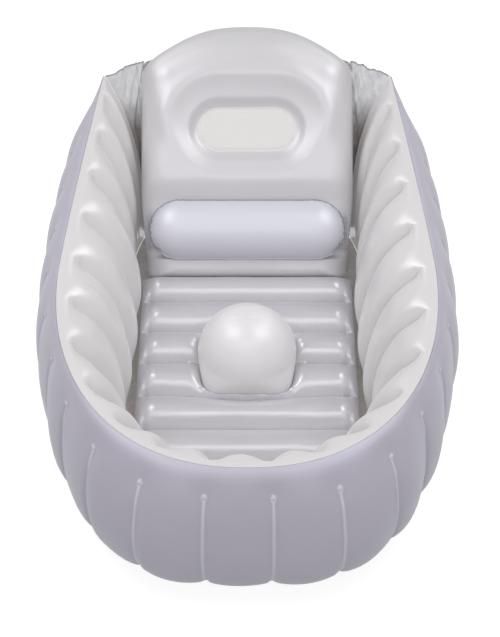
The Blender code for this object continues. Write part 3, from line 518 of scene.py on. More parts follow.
# sections from the rim down: share out, share up, share of the crease
outerSection = ((0, 1, 0), (0.15, 0.985, 0), (0.38, 0.932, 0), (0.66, 0.828, 0.15), (0.88, 0.68, 0.8), (1, 0.50, 1),
                (0.97, 0.34, 1), (0.80, 0.205, 1), (0.47, 0.11, 1), (0.10, 0.035, 0.6), (-0.25, 0, 0))
innerSection = ((0, 1, 0), (0.10, 0.996, 0), (0.24, 0.982, 0.5), (0.45, 0.93, 1), (0.68, 0.82, 1), (0.86, 0.66, 1),
                (0.97, 0.48, 1), (1, 0.34, 1), (0.96, 0.18, 0.6), (0.88, 0.07, 0), (0.82, 0, 0))
outerLobes = dict(
    depth=0.007, power=0.62, grooveWidth=0.0046, grooveDepth=0.0034, grooveTop=0.004, grooveEnd=0.97,
    grooveFade=0.02, beadWidth=0.0017, beadHeight=0.0026, dotUp=0.862, dotRadius=0.0038, dotLength=0.0065,
    dotHeight=0.0022, dotFrom=0.75, dotFade=0.5, pullRadius=0.024, pullDepth=0.0046, jointsAt=(0.055, 0.062),
    jointWidth=0.0012, jointDepth=0.0010, jointStart=0.01, jointTint=0.6,
)
innerLobes = dict(
    depth=0.014, power=0.95, lean=0.65, dotUp=0.975, notchWidth=0.0055, notchDepth=0.0052, notchStart=0.010,
    notchLength=0.075, notchRest=0.25, notchFoot=0.08, notchPower=1.3, reachShare=0.8,
)

backrest = dict(
    lean=43, length=0.421, halfThickness=0.035, crown=0.038, footInset=0.012, wideFrom=0.150, edge=0.036,
    archRise=0.057, archPower=1.7, archRound=0.5, cornerSetback=0.030, hingeHeight=0.030, patchHalfLength=0.082,
    patchHalfHeight=0.037, patchAt=0.245, patchThickness=0.0014, dimple=0.015, pillowAt=0.078,
    pillowHalfHeight=0.047, pillowSeat=0.028, corner=0.012, roll=0.060, ridgeAt=0.0165, ridgeHeight=0.036,
)


def hingePlace():
    run = (backrest["length"] - backrest["halfThickness"]) * math.cos(math.radians(backrest["lean"]))
    return Vector((0, wall["length"] / 2 - backrest["halfThickness"] - run, backrest["hingeHeight"]))


def rimFront():
    return -wall["length"] / 2 + wall["outerBulge"]


def shoulderUp():
    return backrest["length"] - backrest["archRise"]


def rimBackEnd():
    return hingePlace().y + shoulderUp() * math.cos(math.radians(backrest["lean"])) - backrest["cornerSetback"]


def rimHeight(y):
    front = rimFront()
    return mix(wall["frontHeight"], wall["backHeight"], (y - front) / (rimBackEnd() - front))


def rimPlan(points=1200):
    widest = rimFront() + wall["frontRound"]
    t = 1 - np.arange(points) / points
    left = np.column_stack((-wall["rimHalfWidth"] + wall["backNarrowing"] * t ** wall["sideTaper"],
                            mix(widest, rimBackEnd(), t)))
    angle = math.pi * (1 + np.arange(2 * points + 1) / (2 * points))
    nose = np.column_stack((squared(np.cos(angle), wall["squareness"]) * wall["rimHalfWidth"],
                            widest + wall["frontRound"] * squared(np.sin(angle), wall["squareness"])))
    return np.vstack((left, nose, left[::-1] * (-1, 1)))


def wallPlaces():
    # even lobes along the outer skin; columns crowd towards each weld
    plan = rimPlan()
    along = np.gradient(plan, axis=0)
    along /= np.linalg.norm(along, axis=1)[:, None]
    out = np.column_stack((along[:, 1], -along[:, 0]))
    walked, rim = walkedAlong(plan + out * wall["outerBulge"]), walkedAlong(plan)
    pitch = walked[-1] / (wall["creases"] - 1 + 2 * wall["endLobe"])
    creases = pitch * wall["endLobe"] - wall["creaseShift"] + pitch * np.arange(wall["creases"])
    places, phase = crowdedPlaces(np.concatenate(([0], creases, [walked[-1]])), wall["stepsPerLobe"])
    onRim = np.interp(places, walked, rim)

    def here(table):
        return np.column_stack([np.interp(places, walked, table[:, k]) for k in (0, 1)])

    return {
        "point": here(plan), "out": here(out), "phase": phase,
        "toCrease": np.min(np.abs(places[:, None] - creases[None, :]), axis=1),
        "half": np.abs(2 * onRim / rim[-1] - 1), "toEnd": np.minimum(onRim, rim[-1] - onRim),
    }


def sectionRows(section, size, height, dotUp):
    # rows down the section, crowded round the top of the welds
    table = np.array(section)
    knots = np.concatenate(([0], np.cumsum(np.hypot(np.diff(table[:, 0]) * size, np.diff(table[:, 1]) * height))))
    fine = np.linspace(0, knots[-1], 2000)
    top = fine[np.argmin(np.abs(throughPoints(knots, table[:, 1], fine) - dotUp))]
    extra = top + np.linspace(-wall["weldReach"], wall["weldReach"], wall["weldRows"])
    even = np.linspace(0, knots[-1], wall["rows"] - wall["weldRows"])
    down = np.unique(np.concatenate((even, extra[extra > 0.001])))
    side, up = (throughPoints(knots, table[:, k], down) for k in (0, 1))
    fade = unit(np.interp(down, knots, table[:, 2]))
    return down, side, unit(up), ease(fade), top


def notches(look, across, fromTop, toFoot):
    # inside, each crease is cut in deepest at its top
    start = ease((fromTop + look["notchStart"] / 2) / look["notchStart"])
    start = start * (look["notchRest"] + (1 - look["notchRest"]) * bell(np.maximum(0, fromTop), look["notchLength"]))
    start = start * ease(toFoot / look["notchFoot"])[None, :]
    return look["notchDepth"] * start * np.exp(-(across / look["notchWidth"]) ** look["notchPower"])


def weldLines(look, across, fromTop, down, toEnd):
    # outside, each groove holds a bead with a teardrop dot on top; two joints stand at each end
    below = ease((fromTop + look["grooveTop"] / 2) / look["grooveTop"])
    below = below * ease((down[-1] * look["grooveEnd"] - down) / look["grooveFade"])[None, :]
    bead = np.exp(-(across / look["beadWidth"]) ** 4)
    dot = np.hypot(across / look["dotRadius"], fromTop / look["dotLength"])
    dot = 1 - ease((dot - look["dotFrom"]) / look["dotFade"])
    dip = look["grooveDepth"] * bell(across, look["grooveWidth"]) * below
    dip = dip - look["beadHeight"] * bead * below * (1 - dot) - look["dotHeight"] * dot
    dip = dip + look["pullDepth"] * bell(np.hypot(across, fromTop), look["pullRadius"])
    joint = sum(bell(toEnd - at, look["jointWidth"]) for at in look["jointsAt"])
    dip = dip + look["jointDepth"] * joint[:, None] * ease(down / look["jointStart"])[None, :]
    # the mask tints beads, dots and end joints lighter: partly the welds' own tone, partly a painted highlight along
    # the beads and dots
    return dip, np.maximum(np.maximum(bead * below, dot), look["jointTint"] * unit(joint)[:, None])


def seamReach(upShare):
    # how far the end seam is drawn in towards the backrest
    return wall["endSeamReach"] * (1 - upShare ** wall["endSeamPower"])


def skin(places, inner):
    # one skin from the rim seam to the foot: columns x rows x 3
    if inner:
        look, section, sign = innerLobes, innerSection, 1
        size = -wall["innerReach"] * tableShare(wall["reach"], places["half"])
        nominal = wall["innerReach"] * look["reachShare"]
    else:
        look, section, sign = outerLobes, outerSection, -1
        size = wall["outerBulge"] * tableShare(wall["bulge"], places["half"])
        nominal = wall["outerBulge"]
    height = rimHeight(places["point"][:, 1])[:, None]
    down, sideShare, upShare, fade, top = sectionRows(section, nominal, wall["frontHeight"], look["dotUp"])
    side = size[:, None] * sideShare[None, :]
    up = height * upShare[None, :]
    runSide, runUp = np.gradient(side, down, axis=1), np.gradient(up, down, axis=1)
    length = np.hypot(runSide, runUp) + 1e-9
    # inside, each lobe is fuller towards the foot end, so that it laps over the next
    phase = places["phase"] ** (np.exp(-look["lean"] * places["out"][:, 0]) if inner else 1)
    swell = np.abs(np.sin(math.pi * phase)) ** look["power"]
    dip = look["depth"] * fade[None, :] * (1 - swell)[:, None]
    fromTop, across = (down - top)[None, :], places["toCrease"][:, None]
    if inner:
        more, mask = notches(look, across, fromTop, down[-1] - down), None
    else:
        more, mask = weldLines(look, across, fromTop, down, places["toEnd"])
    dip = (dip + more) * sign
    closing = np.sin(math.pi / 2 * unit(places["toEnd"] / wall["endClosing"])) ** wall["endClosingPower"]
    side = (side - runUp / length * dip) * closing[:, None]
    up = np.maximum(0, up + runSide / length * dip)
    side = side - (seamReach(up / height) + sign * wall["endHalfThickness"]) * (1 - closing)[:, None]
    slope = 1 - ease(places["toEnd"] / wall["endSlope"])
    lean = wall["endSlopeRun"] * slope[:, None] * (1 - up / height)
    x = places["point"][:, 0, None] + places["out"][:, 0, None] * side
    y = places["point"][:, 1, None] + places["out"][:, 1, None] * side - lean
    return np.stack((x, y, up), axis=2), closing, mask


places = wallPlaces()
wallOut = np.column_stack((places["out"], np.zeros(len(places["out"]))))
outerSkin, closing, weldToneAndHighlightMask = skin(places, False)
innerSkin, _, _ = skin(places, True)
innerFoot = innerSkin[:, -1] + wallOut * (wall["endHalfThickness"] * (1 - closing))[:, None]


def makeWall():
    rim = (outerSkin[:, 0] + innerSkin[:, 0]) / 2
    made = []
    for name, points, sign in (("outerWall", outerSkin, 1), ("innerWall", innerSkin, -1)):
        # the skin itself, then back up the middle where the two skins meet
        shift = wallOut * sign * wall["gap"] / 2
        ring = [rim + shift * 2]
        last = points.shape[1] if sign > 0 else points.shape[1] - 1
        ring += [points[:, k] + shift for k in range(1, last)]
        back = innerFoot + shift * 2
        for share in np.linspace(0, 1, wall["middlePoints"]):
            drawn = (seamReach(share) - wall["endSeamReach"] * (1 - share)) * (1 - closing)
            ring.append(mix(back, ring[0], share) - wallOut * drawn[:, None])
        made.append(closeUp(gridPiece(name, np.stack(ring, axis=0))))
    markVertices(made[0], outerSkin, weldToneAndHighlightMask)
    return made


outerWall, innerWall = makeWall()
standFor(outerWall, "outer_wall", "lilac")
standFor(innerWall, "inner_wall", "ivory")
for piece in (outerWall, innerWall):
    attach(piece, "tub")
print("wall made:", len(outerWall.data.polygons), len(innerWall.data.polygons))


# floor mattress

mattress = dict(
    sideGap=0.002, frontGap=0.014, rearGap=0.0006, height=0.060, weldHeight=0.036, pinchHeight=0.030, edge=0.032,
    cornerShare=0.42, squareness=2.6, firstChannel=0.064, pitch=0.0705, bow=0.010, bowWidth=0.075, bowReach=0.040,
    channelPower=0.80, sideArch=0.42, sideArchTo=0.05, weldEnd=0.012, weldEndFade=0.008, dotRadius=0.006,
    dotDepth=0.0048, beadAt=0.0875, beadHeight=0.0036, beadLength=0.0050, beadWidth=0.0015, gatherHeight=0.0004,
    gatherLength=0.005, gatherSlant=0.3, gatherReach=0.10, uneven=0.0006, unevenCells=(18, 9), columns=170,
    columnRound=0.35, rowsPerChannel=34, firstRow=0.0009, underRings=5, baseInset=0.019, baseLap=0.01,
    baseHeight=0.0013,
)
ball = dict(
    radius=0.0765, fromHinge=0.206, height=0.0635, cut=0.0295, halfWidth=0.068, halfDepth=0.0695, squareness=6.0,
    squareFrom=0.012, squarePower=1.8, weldHeight=0.0007, weldWidth=0.0012, weldDip=0.0005, weldDipWidth=0.006,
    underShares=(0.55, 0.9), lowRings=25, domeRings=60, topOpening=0.012, around=161,
)
moat = dict(
    width=0.028, flat=0.003, floor=0.038, under=0.0335, lip=0.0055, lipAt=0.0042, lipWidth=0.0036, lipAhead=0.045,
    lipAheadFade=0.02, lipHalfLength=0.090, lipEndFade=0.03,
)


def ballY():
    return hingePlace().y - ball["fromHinge"]


def mattressEnds():
    front = rimFront() + wall["innerReach"] * wall["reach"][0][1] + mattress["frontGap"]
    return front, hingePlace().y - mattress["rearGap"]


def mattressHalf(y):
    half = wall["rimHalfWidth"] - wall["innerReach"] - mattress["sideGap"]
    front, rear = mattressEnds()
    into = unit(1 - (y - front) / ((rear - front) * mattress["cornerShare"]))
    return half * (1 - into ** mattress["squareness"]) ** (1 / mattress["squareness"])


def mattressWelds():
    front, rear = mattressEnds()
    last = rear - mattress["firstChannel"]
    return [last - k * mattress["pitch"] for k in reversed(range(int((last - front) / mattress["pitch"])))]


def addMoat(x, y, z, centreY):
    # the moat that the ball's base weld pulls down round itself, with a low lip in front
    power = ball["squareness"]
    reach = ((np.abs(x) / ball["halfWidth"]) ** power
             + (np.abs(y - centreY) / ball["halfDepth"]) ** power) ** (1 / power)
    away = np.hypot(x, y - centreY) * (1 - 1 / np.maximum(reach, 1))
    low = np.minimum(z, moat["floor"])
    shoulder = unit(1 - (away - moat["flat"]) / moat["width"])
    z = mix(low, z, np.sqrt(1 - shoulder ** 3))
    ahead = ease((centreY - moat["lipAhead"] - y) / moat["lipAheadFade"])
    ahead = ahead * ease((moat["lipHalfLength"] - np.abs(x)) / moat["lipEndFade"])
    z = z + moat["lip"] * bell(away - moat["lipAt"], moat["lipWidth"]) * ahead
    return np.where(reach < 1, np.minimum(z, moat["under"]), z)


def goUnder(top, centre):
    # the outermost rings of the mattress go down and under
    rings = mattress["underRings"]
    i, j = (np.clip(np.arange(-rings, count + rings), 0, count - 1) for count in top.shape[:2])
    points = top[i][:, j].copy()
    inRow, inColumn = (np.minimum(np.arange(count), count - 1 - np.arange(count)) for count in points.shape[:2])
    fromBorder = np.minimum(inRow[:, None], inColumn[None, :])
    for ring in range(rings):
        mask = fromBorder == ring
        angle = min(1.0, (rings - ring) / (rings - 1)) * math.pi / 2
        toward = centre - points[mask][:, :2]
        toward /= np.linalg.norm(toward, axis=1)[:, None]
        inward = mattress["baseInset"] * (1 - math.cos(angle)) + (mattress["baseLap"] if ring == 0 else 0)
        points[mask, :2] = points[mask][:, :2] + toward * inward
        points[mask, 2] = mix(mattress["pinchHeight"], mattress["baseHeight"], math.sin(angle))
    return points


def makeMattress():
    front, rear = mattressEnds()
    rows, between = crowdedPlaces([front] + mattressWelds() + [rear], mattress["rowsPerChannel"])
    rows[0] += mattress["firstRow"]
    across = crowdedTurn(mattress["columns"], mattress["columnRound"])
    half = mattressHalf(rows)[:, None]
    x = across[None, :] * half
    y = np.repeat(rows[:, None], len(across), axis=1)
    centreY = ballY()
    side = half - np.abs(x)
    # channels between the cross welds, which stop short of the sides
    fade = mattress["weldEndFade"]
    reach = ease((side - mattress["weldEnd"] + fade / 2) / fade)
    arch = np.abs(np.sin(math.pi * between[:, None])) ** mattress["channelPower"]
    arch = arch + (1 - arch) * mattress["sideArch"] * (1 - reach) * (side < mattress["sideArchTo"])
    crown = mix(mattress["weldHeight"], mattress["height"], arch)
    edge = cushionEdge(side, mattress["edge"], np.minimum(y - front, rear - y), mattress["edge"], 3)
    z = mix(mattress["pinchHeight"], crown, edge)
    # the welds in front of the ball are bowed
    y = y - mattress["bow"] * bell(x, mattress["bowWidth"]) * bell(y - centreY + ball["radius"], mattress["bowReach"])
    z = addMoat(x, y, z, centreY)
    # the cross weld beside the ball ends in a short bead on either side
    beside = min(mattressWelds(), key=lambda weld: abs(weld - centreY))
    bead = bell(np.abs(x) - mattress["beadAt"], mattress["beadLength"]) * bell(y - beside, mattress["beadWidth"])
    z = z + mattress["beadHeight"] * bead
    # every weld ends in a small round dent
    for weld in mattressWelds():
        spot = np.hypot(np.abs(x) - mattressHalf(weld) + mattress["weldEnd"], y - weld)
        z = z - mattress["dotDepth"] * bell(spot, mattress["dotRadius"])
    ripple = gathers(x + mattress["gatherSlant"] * y, 5, mattress["gatherLength"])
    ripple = ripple * bell(np.minimum(between, 1 - between)[:, None], mattress["gatherReach"])
    z = z + mattress["gatherHeight"] * ripple * edge
    z = z + mattress["uneven"] * softNoise(z.shape, mattress["unevenCells"], 3) * edge
    points = goUnder(np.stack((x, y, z), axis=2), np.array((0, (front + rear) / 2)))
    return closeUp(gridPiece("floorMattress", points), meshing["looseJoin"], oneHole=True)


floorMattress = makeMattress()
standFor(floorMattress, "floor_mattress", "pearl")
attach(floorMattress, "tub")
print("mattress made:", len(floorMattress.data.polygons))


# ball

def makeBall():
    radius, cut = ball["radius"], ball["cut"]
    levels = [(share, -cut) for share in ball["underShares"]]
    levels += [(1, height) for height in np.linspace(-cut, 0, ball["lowRings"] + 1)[:-1]]
    dome = np.linspace(0, math.pi / 2 - ball["topOpening"], ball["domeRings"])
    levels += [(1, radius * math.sin(angle)) for angle in dome]
    turn = np.linspace(0, math.tau, ball["around"])
    centre = np.array((0, ballY(), ball["height"]))
    rings = []
    for share, height in levels:
        # round above, squared towards the base weld
        drawn = max(0, (ball["squareFrom"] - height) / (ball["squareFrom"] + cut)) ** ball["squarePower"]
        here = math.sqrt(max(0, radius ** 2 - max(0, height) ** 2))
        squareness = mix(2, ball["squareness"], drawn)
        x = squared(np.cos(turn), squareness) * mix(here, ball["halfWidth"], drawn) * share
        y = squared(np.sin(turn), squareness) * mix(here, ball["halfDepth"], drawn) * share
        # one weld over the top from side to side
        weld = ball["weldHeight"] * bell(y, ball["weldWidth"]) - ball["weldDip"] * bell(y, ball["weldDipWidth"])
        grow = 1 + weld / radius * (height > 0)
        rings.append(np.column_stack((x * grow, y * grow, np.full(len(x), height) * grow)) + centre)
    return stackPiece("seatBall", np.stack(rings, axis=0))


ballPiece = makeBall()
standFor(ballPiece, "ball", "ballSatin")
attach(ballPiece, "tub")
print("ball made:", len(ballPiece.data.polygons))


# backrest, pillow and patch, made flat and then leaned back

backrestLook = dict(
    columns=150, columnRound=0.45, rows=176, rowCrowding=0.035, join=0.00002, sideEdge=0.050, topEdge=0.058,
    edgePower=3.5, riseEarly=0.006, footPower=2.8, ridgeHold=0.003, ridgeFall=0.011, ridgeLift=0.0043,
    ringLift=0.0035, ringWidth=0.016, ringBelow=0.2, runBelow=0.042, runAbove=0.058, quickShare=0.45,
    quickRun=0.017, underPatch=0.0014, underPatchEdge=0.002, uneven=0.0008, unevenCells=(9, 7), tugHeight=0.00045,
    tugLength=0.006, tugReach=0.014,
)


def pillowSpan():
    return [backrest["pillowAt"] + sign * backrest["pillowHalfHeight"] for sign in (-1, 1)]


def leaned(up, lift):
    # from the flat cushion's own place to the tub
    place = Matrix.Translation(hingePlace()) @ Matrix.Rotation(math.radians(backrest["lean"]), 4, "X")
    return place @ Matrix.Translation((0, up, lift))


def backrestHalf(up):
    wide = wall["rimHalfWidth"] - wall["backNarrowing"] - wall["innerReach"] * wall["reach"][-1][1]
    return wide - backrest["footInset"] * (1 - ease(up / backrest["wideFrom"]))


def backrestTop(x):
    share = unit(np.abs(x) / backrestHalf(shoulderUp()))
    swing = (1 - np.cos(math.pi * share ** backrest["archPower"])) / 2
    return backrest["length"] - backrest["archRise"] * mix(swing, share ** 2, backrest["archRound"])


def outsidePatch(x, up):
    over = np.maximum(0, np.abs(x) - (backrest["patchHalfLength"] - backrest["patchHalfHeight"]))
    return np.hypot(over, up - backrest["patchAt"]) - backrest["patchHalfHeight"]


def frontHeight(x, up, side, top):
    look = backrestLook
    seatStart, seatEnd = pillowSpan()
    rise = ease((up - seatEnd + look["riseEarly"]) / backrest["pillowHalfHeight"])
    crown = mix(backrest["pillowSeat"], backrest["crown"], rise)
    # the ridge holds its height up to the pillow's weld and falls off under it
    ridgeEnd = ease((up - seatStart + look["ridgeHold"]) / look["ridgeFall"])
    crown = crown + (backrest["ridgeHeight"] + look["ridgeLift"] - backrest["pillowSeat"]) * (1 - ridgeEnd)
    foot = 1 - unit(up / backrest["ridgeAt"])
    foot = (1 - foot ** look["footPower"]) ** (1 / look["footPower"])
    # drawn in round the patch: steep beside it and easier further out
    outside = outsidePatch(x, up)
    above = ease(0.5 + (up - backrest["patchAt"]) / (2 * backrest["patchHalfHeight"]))
    run = mix(look["runBelow"], look["runAbove"], above)
    dimple = 1 - mix(ease(outside / run), ease(outside / look["quickRun"]), look["quickShare"])
    ring = look["ringLift"] * mix(look["ringBelow"], 1, above) * bell(outside - run, look["ringWidth"])
    edge = cushionEdge(side, look["sideEdge"], top, look["topEdge"], look["edgePower"])
    return np.minimum(edge, foot) * crown + ring * edge - backrest["dimple"] * dimple * edge, edge


def makeBackrest():
    look = backrestLook
    across = crowdedTurn(look["columns"], look["columnRound"])
    share = np.linspace(0, 1, look["rows"])
    share = share - look["rowCrowding"] * np.sin(math.tau * share)
    seatEnd = pillowSpan()[1]
    base = np.minimum(share * backrest["length"], seatEnd)
    upper = unit((share * backrest["length"] - seatEnd) / (backrest["length"] - seatEnd))
    x0 = across[None, :] * backrestHalf(base)[:, None]
    up = mix(base[:, None], backrestTop(x0), upper[:, None])
    half = backrestHalf(up)
    fromCorner = np.minimum(up, backrestTop(across[None, :] * half) - up)
    corner = backrest["corner"] * (1 - roundEdge(fromCorner, backrest["corner"]))
    x = across[None, :] * (half - corner)
    side = half * (1 - np.abs(across))[None, :]
    top = np.where(upper[:, None] < 1, backrestTop(x) - up, 0)
    z, edge = frontHeight(x, up, side, top)
    border = (np.abs(across)[None, :] > 0.99999) | (share[:, None] <= 0) | (share[:, None] >= 1)
    under = 1 - ease((outsidePatch(x, up) + look["underPatchEdge"]) / look["underPatchEdge"])
    z = z + look["uneven"] * softNoise(z.shape, look["unevenCells"], 11) * edge * (1 - under)
    z = z - look["underPatch"] * under
    tug = gathers(up, 21, look["tugLength"]) * np.exp(-side / look["tugReach"])
    tug = tug + gathers(x, 22, look["tugLength"]) * np.exp(-top / look["tugReach"])
    z = z + look["tugHeight"] * tug * edge
    front = np.stack((x, up, np.where(border, 0, z)), axis=2)
    deep = cushionEdge(side, backrest["edge"], top, backrest["edge"], 3)
    foot = np.sin(math.pi / 2 * unit(up / backrest["roll"]))
    back = np.stack((x, up, np.where(border, 0, -backrest["halfThickness"] * np.minimum(deep, foot))), axis=2)
    piece = joinPieces(gridPiece("backrestCushion", front), gridPiece("backrestBack", back))
    closeUp(piece, look["join"])
    moveMesh(piece, leaned(wall["gap"], 0))
    return piece


def stadiumRing(halfLength, halfHeight, count):
    half = 2 * (count // 4)
    points = [(sign * (halfLength - halfHeight) + halfHeight * math.cos(math.pi * (start + k / half)),
               halfHeight * math.sin(math.pi * (start + k / half)))
              for sign, start in ((1, -0.5), (-1, 0.5)) for k in range(half + 1)]
    points = np.array(points + points[:1])
    # even steps along the straight sides too
    walked = walkedAlong(points)
    even = np.linspace(0, walked[-1], count + 1)
    return np.column_stack([np.interp(even, walked, points[:, k]) for k in (0, 1)]), even


# base and seam give rows from the back up: inset (in the base a share of it) and share of the weld's height
pillow = dict(
    endMargin=0.0065, halfHeight=0.047, thickness=0.054, weld=0.0135, baseInset=0.010, base=((1, 0), (0.35, 0.35),
    (0.06, 0.8)),
    seam=((0, 0.90), (-0.0016, 0.94), (-0.0019, 1), (-0.0016, 1.06), (-0.0002, 1.07)),
    domeInset=0.0004, domePower=0.9, topHalfHeight=0.002, around=200, layers=44, gather=0.0007, gatherRun=0.80,
    gatherLength=0.006, gatherReach=0.25, gatherSides=0.3, shadeLineLow=0.0012, shadeLineHigh=0.0044, shadeLineFrom=0.85,
    shadeLineFadeFrom=0.6, shadeLineFadeShare=0.85,
)


def pillowHalfLength():
    return float(backrestHalf(pillowSpan()[0])) - pillow["endMargin"]


def onPillowSeat(piece):
    moveMesh(piece, leaned(backrest["pillowAt"], backrest["pillowSeat"] + wall["gap"]))


def makePillow():
    tall, weld, half = pillow["halfHeight"], pillow["weld"], pillowHalfLength()
    layers = [(pillow["baseInset"] * inset, weld * share) for inset, share in pillow["base"]]
    layers += [(inset, weld * share) for inset, share in pillow["seam"]]
    low = layers[-1][1]
    for k in range(pillow["layers"] + 1):
        angle = math.pi / 2 * k / pillow["layers"]
        inset = (tall - pillow["topHalfHeight"]) * (1 - math.cos(angle) ** pillow["domePower"])
        layers.append((inset + pillow["domeInset"], mix(low, pillow["thickness"], math.sin(angle))))
    rings = []
    for inset, height in layers:
        ring, even = stadiumRing(half - inset, tall - inset, pillow["around"])
        share = (height - weld) / (pillow["thickness"] - weld)
        ripple = gathers(even / even[-1] * pillow["gatherRun"], 31, pillow["gatherLength"]) * pillow["gather"]
        ripple = ripple * bell(share, pillow["gatherReach"]) * (share > 0)
        ends = ease((np.abs(ring[:, 0]) - half + 2 * tall) / tall)
        push = 1 + ripple * mix(pillow["gatherSides"], 1, ends) / tall
        rings.append(raised(ring * push[:, None], height))
    points = np.stack(rings, axis=0)
    piece = stackPiece("pillowBolster", points)
    height = points[:, :, 2]
    # the weld mask here is a dark line of painted shade round the pillow's seam, for the crevice between pillow and
    # backrest; it fades out towards the bottom edge
    seam = (height < weld + pillow["shadeLineHigh"]) & (height > weld * pillow["shadeLineFrom"])
    away = unit((height - weld - pillow["shadeLineLow"]) / (pillow["shadeLineHigh"] - pillow["shadeLineLow"]))
    lower = ease((-points[:, :, 1] / tall - pillow["shadeLineFadeFrom"]) / (1 - pillow["shadeLineFadeFrom"]))
    markVertices(piece, points, np.where(seam, 1 - away, 0) * (1 - pillow["shadeLineFadeShare"] * lower))
    onPillowSeat(piece)
    return piece


# section from the border in: inset and share of the thickness, with a welt pressed round it
patch = dict(
    around=160,
    section=((0, 0), (0, 0.5), (0.0003, 0.85), (0.0009, 1), (0.0022, 1), (0.0028, 0.62), (0.0036, 0.62),
        (0.0044, 0.9), (0.010, 1), (0.020, 1)),
)


def makePatch():
    floor = backrest["crown"] - backrest["dimple"] - backrest["patchThickness"]
    rings = []
    for inset, share in patch["section"]:
        ring, _ = stadiumRing(backrest["patchHalfLength"] - inset, backrest["patchHalfHeight"] - inset,
                              patch["around"])
        rings.append(raised(ring, floor + backrest["patchThickness"] * share))
    piece = stackPiece("patchPlate", np.stack(rings, axis=0))
    moveMesh(piece, leaned(backrest["patchAt"], 0))
    return piece


backrestPiece = makeBackrest()
pillowPiece = makePillow()
patchPiece = makePatch()
for piece, look, node, slot in ((backrestPiece, "backSatin", "backrest", "pearl_vinyl"),
                                (pillowPiece, "paleLilac", "pillow", "pillow_vinyl"),
                                (patchPiece, "patchPlate", "backrest_patch", "ivory_vinyl")):
    standFor(piece, node, look)
    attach(piece, "backrest")
print("backrest made:", len(backrestPiece.data.polygons), len(pillowPiece.data.polygons))


# clear film: gussets, pillow tabs and the bottom sheet

# two sets of creases cross: height, slant across and down, length
gusset = dict(
    across=60, down=80, foldDepth=0.004, folds=2, bow=0.012, foot=0.012, thickness=0.0006, clearance=0.0014,
    lap=0.003, flat=(0.12, 0.28), hemRows=0.6, stopFoot=0.030, creases=((0.0026, 0.10, 0.22, 0.007),
    (0.0016, 0.08, -0.13, 0.008)), pleatDepth=0.0035, pleatAt=0.55, pleatSway=0.05, pleatTurns=5, pleatWidth=0.035,
)


def sheetPiece(name, middle, thickness):
    # two faces either side of a middle surface, bridged all round
    normal = np.cross(np.gradient(middle, axis=0), np.gradient(middle, axis=1))
    normal /= np.linalg.norm(normal, axis=2)[:, :, None] + 1e-12
    half = normal * thickness / 2
    piece = joinPieces(gridPiece(name, middle + half), gridPiece(name + "Back", middle - half))
    editMode("DESELECT")
    selectOpenEdges()
    bpy.ops.mesh.bridge_edge_loops()
    faceOutwards(meshing["sheetSmoothAngle"])
    diagonals = np.cross(middle[1:, 1:] - middle[:-1, :-1], middle[1:, :-1] - middle[:-1, 1:])
    return piece, float(np.linalg.norm(diagonals, axis=2).sum() / 2)


def makeGusset(side):
    seam = innerSkin[0 if side < 0 else -1]
    order = np.argsort(seam[:, 2])
    down = np.linspace(0, 1, gusset["down"])[:, None]
    t = np.linspace(0, 1, gusset["across"])[None, :]
    topZ = seam[0, 2] - wall["gap"]
    z = mix(topZ, gusset["foot"], down[:, 0])
    startX, startY = [np.interp(z, seam[order, 2], seam[order, axis]) for axis in (0, 1)]
    start = np.column_stack((startX, startY + gusset["clearance"], z))
    up = mix(shoulderUp(), gusset["stopFoot"], down[:, 0])
    turn = leaned(0, 0)
    stop = np.array([turn @ Vector((side * (reach - gusset["lap"]), u, 0)) for reach, u in zip(backrestHalf(up), up)])
    bend = np.column_stack((stop[:, 0], np.maximum(start[:, 1], stop[:, 1]) + gusset["bow"],
                            (start[:, 2] + stop[:, 2]) / 2))
    # a curve from the wall's seam to the backrest's side, and its sideways direction
    s = t[:, :, None]
    point = start[:, None] * (1 - s) ** 2 + bend[:, None] * (2 * s * (1 - s)) + stop[:, None] * s ** 2
    run = (bend - start)[:, None] * (2 * (1 - s)) + (stop - bend)[:, None] * (2 * s)
    normal = np.stack((run[:, :, 1], -run[:, :, 0], np.zeros(run.shape[:2])), axis=2)
    normal /= np.linalg.norm(normal, axis=2)[:, :, None]
    fold = gusset["foldDepth"] * np.sin(math.tau * gusset["folds"] * t) * (1 - t) ** 2
    free = np.sin(math.pi * t) ** 0.5 * np.ones_like(down)
    wrinkle = sum(height * gathers(t * over + down * under, seed, length) for (height, over, under, length), seed
                  in zip(gusset["creases"], (41 + (side > 0), 43)))
    sway = gusset["pleatSway"] * np.sin(down * gusset["pleatTurns"])
    pleat = gusset["pleatDepth"] * bell(t - gusset["pleatAt"] - sway, gusset["pleatWidth"])
    shift = fold + (wrinkle - pleat) * free
    middle = point + normal * shift[:, :, None]
    piece, area = sheetPiece("gussetLeft" if side < 0 else "gussetRight", middle, gusset["thickness"])
    # the top edge is a dark hem
    markVertices(piece, middle, np.repeat(down * gusset["down"] < gusset["hemRows"], gusset["across"], axis=1))
    return piece, area


for side, node in ((-1, "side_gusset_left"), (1, "side_gusset_right")):
    piece, area = makeGusset(side)
    standFor(piece, node, "film")
    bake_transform(piece)
    print("gusset made, area", round(area, 4))


tab = dict(
    length=0.009, height=0.058, drawn=0.25, clearance=0.0022, thickness=0.0006, flat=(0.042, 0.060), rows=48,
    columns=20, startGap=0.0018, fromTop=0.3, rippleHeight=0.0010, rippleSlant=(1.3, 0.4), rippleLength=0.004,
)


